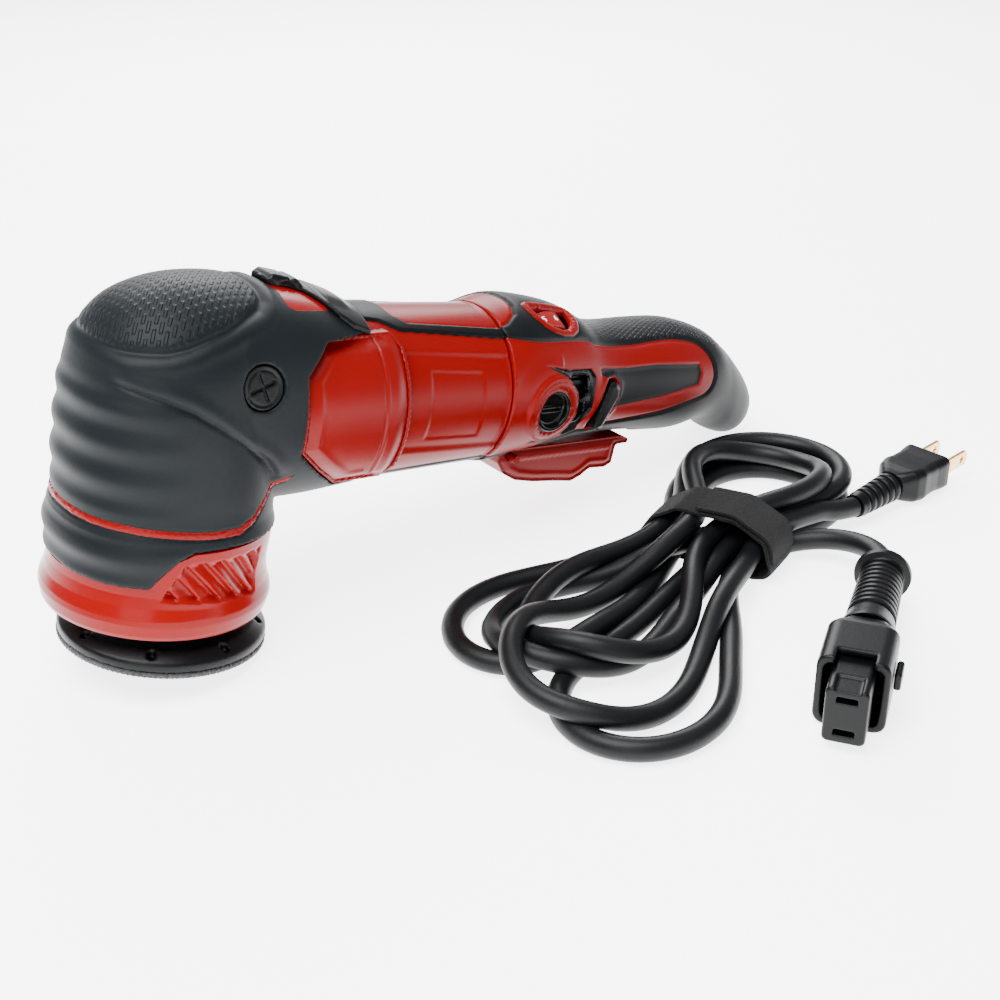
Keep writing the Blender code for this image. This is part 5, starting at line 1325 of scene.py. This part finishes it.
def makePlug():
    at = hankToWorld([plugLead[-1]])[0] / mm
    toWorld = headingFrame(at, plug["height"], plug["heading"])
    relief = [(thin, 0.6), (4.7, 0.6)]
    for k in range(6):
        x = 2.6 + k * 3.7
        r = 4.9 + 0.18 * k
        relief += [(r, x), (r + 0.2, x + 0.5), (r + 0.2, x + 1.9), (r - 0.9, x + 2.4), (r - 0.9, x + 3.2)]
    relief += [(5.9, 24.6), (thin, 24.6)]
    sleeve = turned("relief", denser(relief, 0.7), axis="x", steps=72, toWorld=toWorld)
    finished(sleeve, "plug_relief_skin", "blackSatin", "plug_relief", sharp=50)
    body = loftedBoxes("plug", [(24.9, 5.4, 5.4, 4), (27, 7.2, 6.2, 4), (30, 9.4, 6.9, 3.5),
                                (34, 10.3, 7.0, 3.2), (38, 10.0, 6.6, 3.2), (43, 9.9, 6.6, 3.2),
                                (47.6, 10.4, 6.9, 3.0), (50.4, 10.4, 6.9, 2.6), (50.9, 9.9, 6.4, 2.4)],
                       toWorld)
    remeshed(body, 0.45, 3)
    finished(body, "plug_body_skin", "blackSatin", "plug_body")
    for side, name in sides:
        y = side * plug["bladeApart"] / 2
        outline = [(51.2, -3.15), (67.6, -3.15), (68.8, -1.6), (68.8, 1.6), (67.6, 3.15), (51.2, 3.15)]
        blade = prism("blade", outline, y - 0.72, y + 0.72, toWorld=toWorld)
        hole = [(64.6 + 1.5 * math.cos(a), 1.5 * math.sin(a))
                for a in np.linspace(0, 2 * math.pi, 24, endpoint=False)]
        combine(blade, prism("hole", hole, y - 3, y + 3, toWorld=toWorld))
        rounding = blade.modifiers.new("Round", "BEVEL")
        rounding.width, rounding.segments = 0.22 * mm, 2
        applied(blade)
        finished(blade, "plug_blade_skin_" + name, "brass", "plug_blade_" + name, sharp=35)


connector = {"heading": math.radians(212.3), "height": 13.4, "latchLift": 3.0}


def makeConnector():
    at = hankToWorld([connectorLead[0]])[0] / mm
    toWorld = headingFrame(at, connector["height"], connector["heading"])
    grip = [(thin, 0.6), (9.2, 0.6), (9.9, 1.0), (10.0, 2.0), (9.8, 3.2), (7.8, 3.9), (7.4, 4.6)]
    for k in range(9):
        x = 6.0 + k * 3.1
        r = 7.6 + 0.08 * k
        grip += [(r, x), (r + 0.15, x + 0.4), (r + 0.15, x + 1.7), (r - 0.55, x + 2.0), (r - 0.55, x + 2.7)]
    grip += [(8.4, 35.5), (8.8, 38.0), (10.0, 43.6), (10.0, 44.6), (thin, 44.6)]
    sleeve = turned("grip", denser(grip, 0.7), axis="x", steps=96, toWorld=toWorld)
    finished(sleeve, "connector_grip_skin", "blackSatin", "connector_grip", sharp=50)
    hood = loftedBoxes("hood", [(44.9, 7.8, 8.6, 4), (48, 8.6, 9.4, 4), (52, 10.4, 11.6, 4),
                                (55.9, 11.5, 13.0, 4), (70, 11.5, 13.0, 4), (77.4, 11.5, 13.0, 4),
                                (77.9, 11.0, 12.5, 3.6)], toWorld)
    mouth = loftedBoxes("mouth", [(59.9, 9.1, 10.6, 2.4), (90, 9.1, 10.6, 2.4)], toWorld)
    combine(hood, mouth)
    combine(hood, prism("scoop", [(72, 20), (72, 9), (82, 9), (82, 20)], -6, 6, toWorld=toWorld))
    remeshed(hood, 0.45, 3)
    finished(hood, "connector_hood_skin", "blackSatin", "connector_hood")
    core = loftedBoxes("core", [(60.2, 6.7, 10.0, 1.8), (89.6, 6.7, 10.0, 1.8), (90.2, 6.2, 9.5, 1.6)],
                       toWorld)
    for side, _ in sides:
        slot = [(y, side * 6.0 + z) for y, z in ((-3.3, -1.1), (3.3, -1.1), (3.3, 1.1), (-3.3, 1.1))]
        combine(core, prism("slot", slot, 78, 96, "yz", toWorld))
    combine(core, prism("step", [(82, 9.2), (82, 12), (92, 12), (92, 9.2)], -4.2, 4.2, toWorld=toWorld))
    remeshed(core, 0.35, 2)
    finished(core, "contact_block_skin", "blackSatin", "contact_block")
    latchAt = toWorld([(0, 13.0, connector["latchLift"])])[0] / mm
    latch = loftedBoxes("latch", [(62.6, 0.9, 2.8, 0.6), (63.4, 1.2, 3.0, 0.8), (70.4, 1.2, 3.0, 0.8),
                                  (71.2, 0.9, 2.8, 0.6)],
                        headingFrame(latchAt, connector["height"] + connector["latchLift"],
                                     connector["heading"]))
    remeshed(latch, 0.3, 1)
    finished(latch, "connector_latch_skin", "blackSatin", "connector_latch", body="latch")


cadFinishes = {"steel": ("armature_shaft", "front_bearing", "rear_bearing", "spindle_bearing_lower",
                         "spindle_bearing_upper", "eccentric_bearing", "spindle", "plate_screw",
                         "bevel_gear", "drive_pinion", "counterweight"),
               "coreSteel": ("armature_core", "stator"), "alloy": ("gear_housing", "gear_cover"),
               "copper": ("commutator",), "brass": ("inlet_pin_left", "inlet_pin_right"),
               "carbon": ("carbon_brush_left", "carbon_brush_right"), "fanBlack": ("cooling_fan",),
               "blackSatin": ("switch",), "redSatin": ("trigger_pin",)}


def coverCad():
    for finish, names in cadFinishes.items():
        for name in names:
            for slot in nodes[name].material_slots:
                slot.material = finishes[finish]


for stage, make in (("boot", makeBoot), ("clip", makeClip), ("caps", makeCaps), ("side panels", makePanels),
                    ("motor housing", makeMotor), ("handle", makeHandle), ("vents", makeVents),
                    ("brush caps", makeBrushCaps), ("lock lever", makeLever), ("dial", makeDial),
                    ("shroud", makeShroud), ("pad", makePad), ("trigger", makeTrigger),
                    ("plug", makePlug), ("connector", makeConnector), ("inner pieces", coverCad),
                    ("strap", makeStrap)):
    make()
    print(stage, "made")
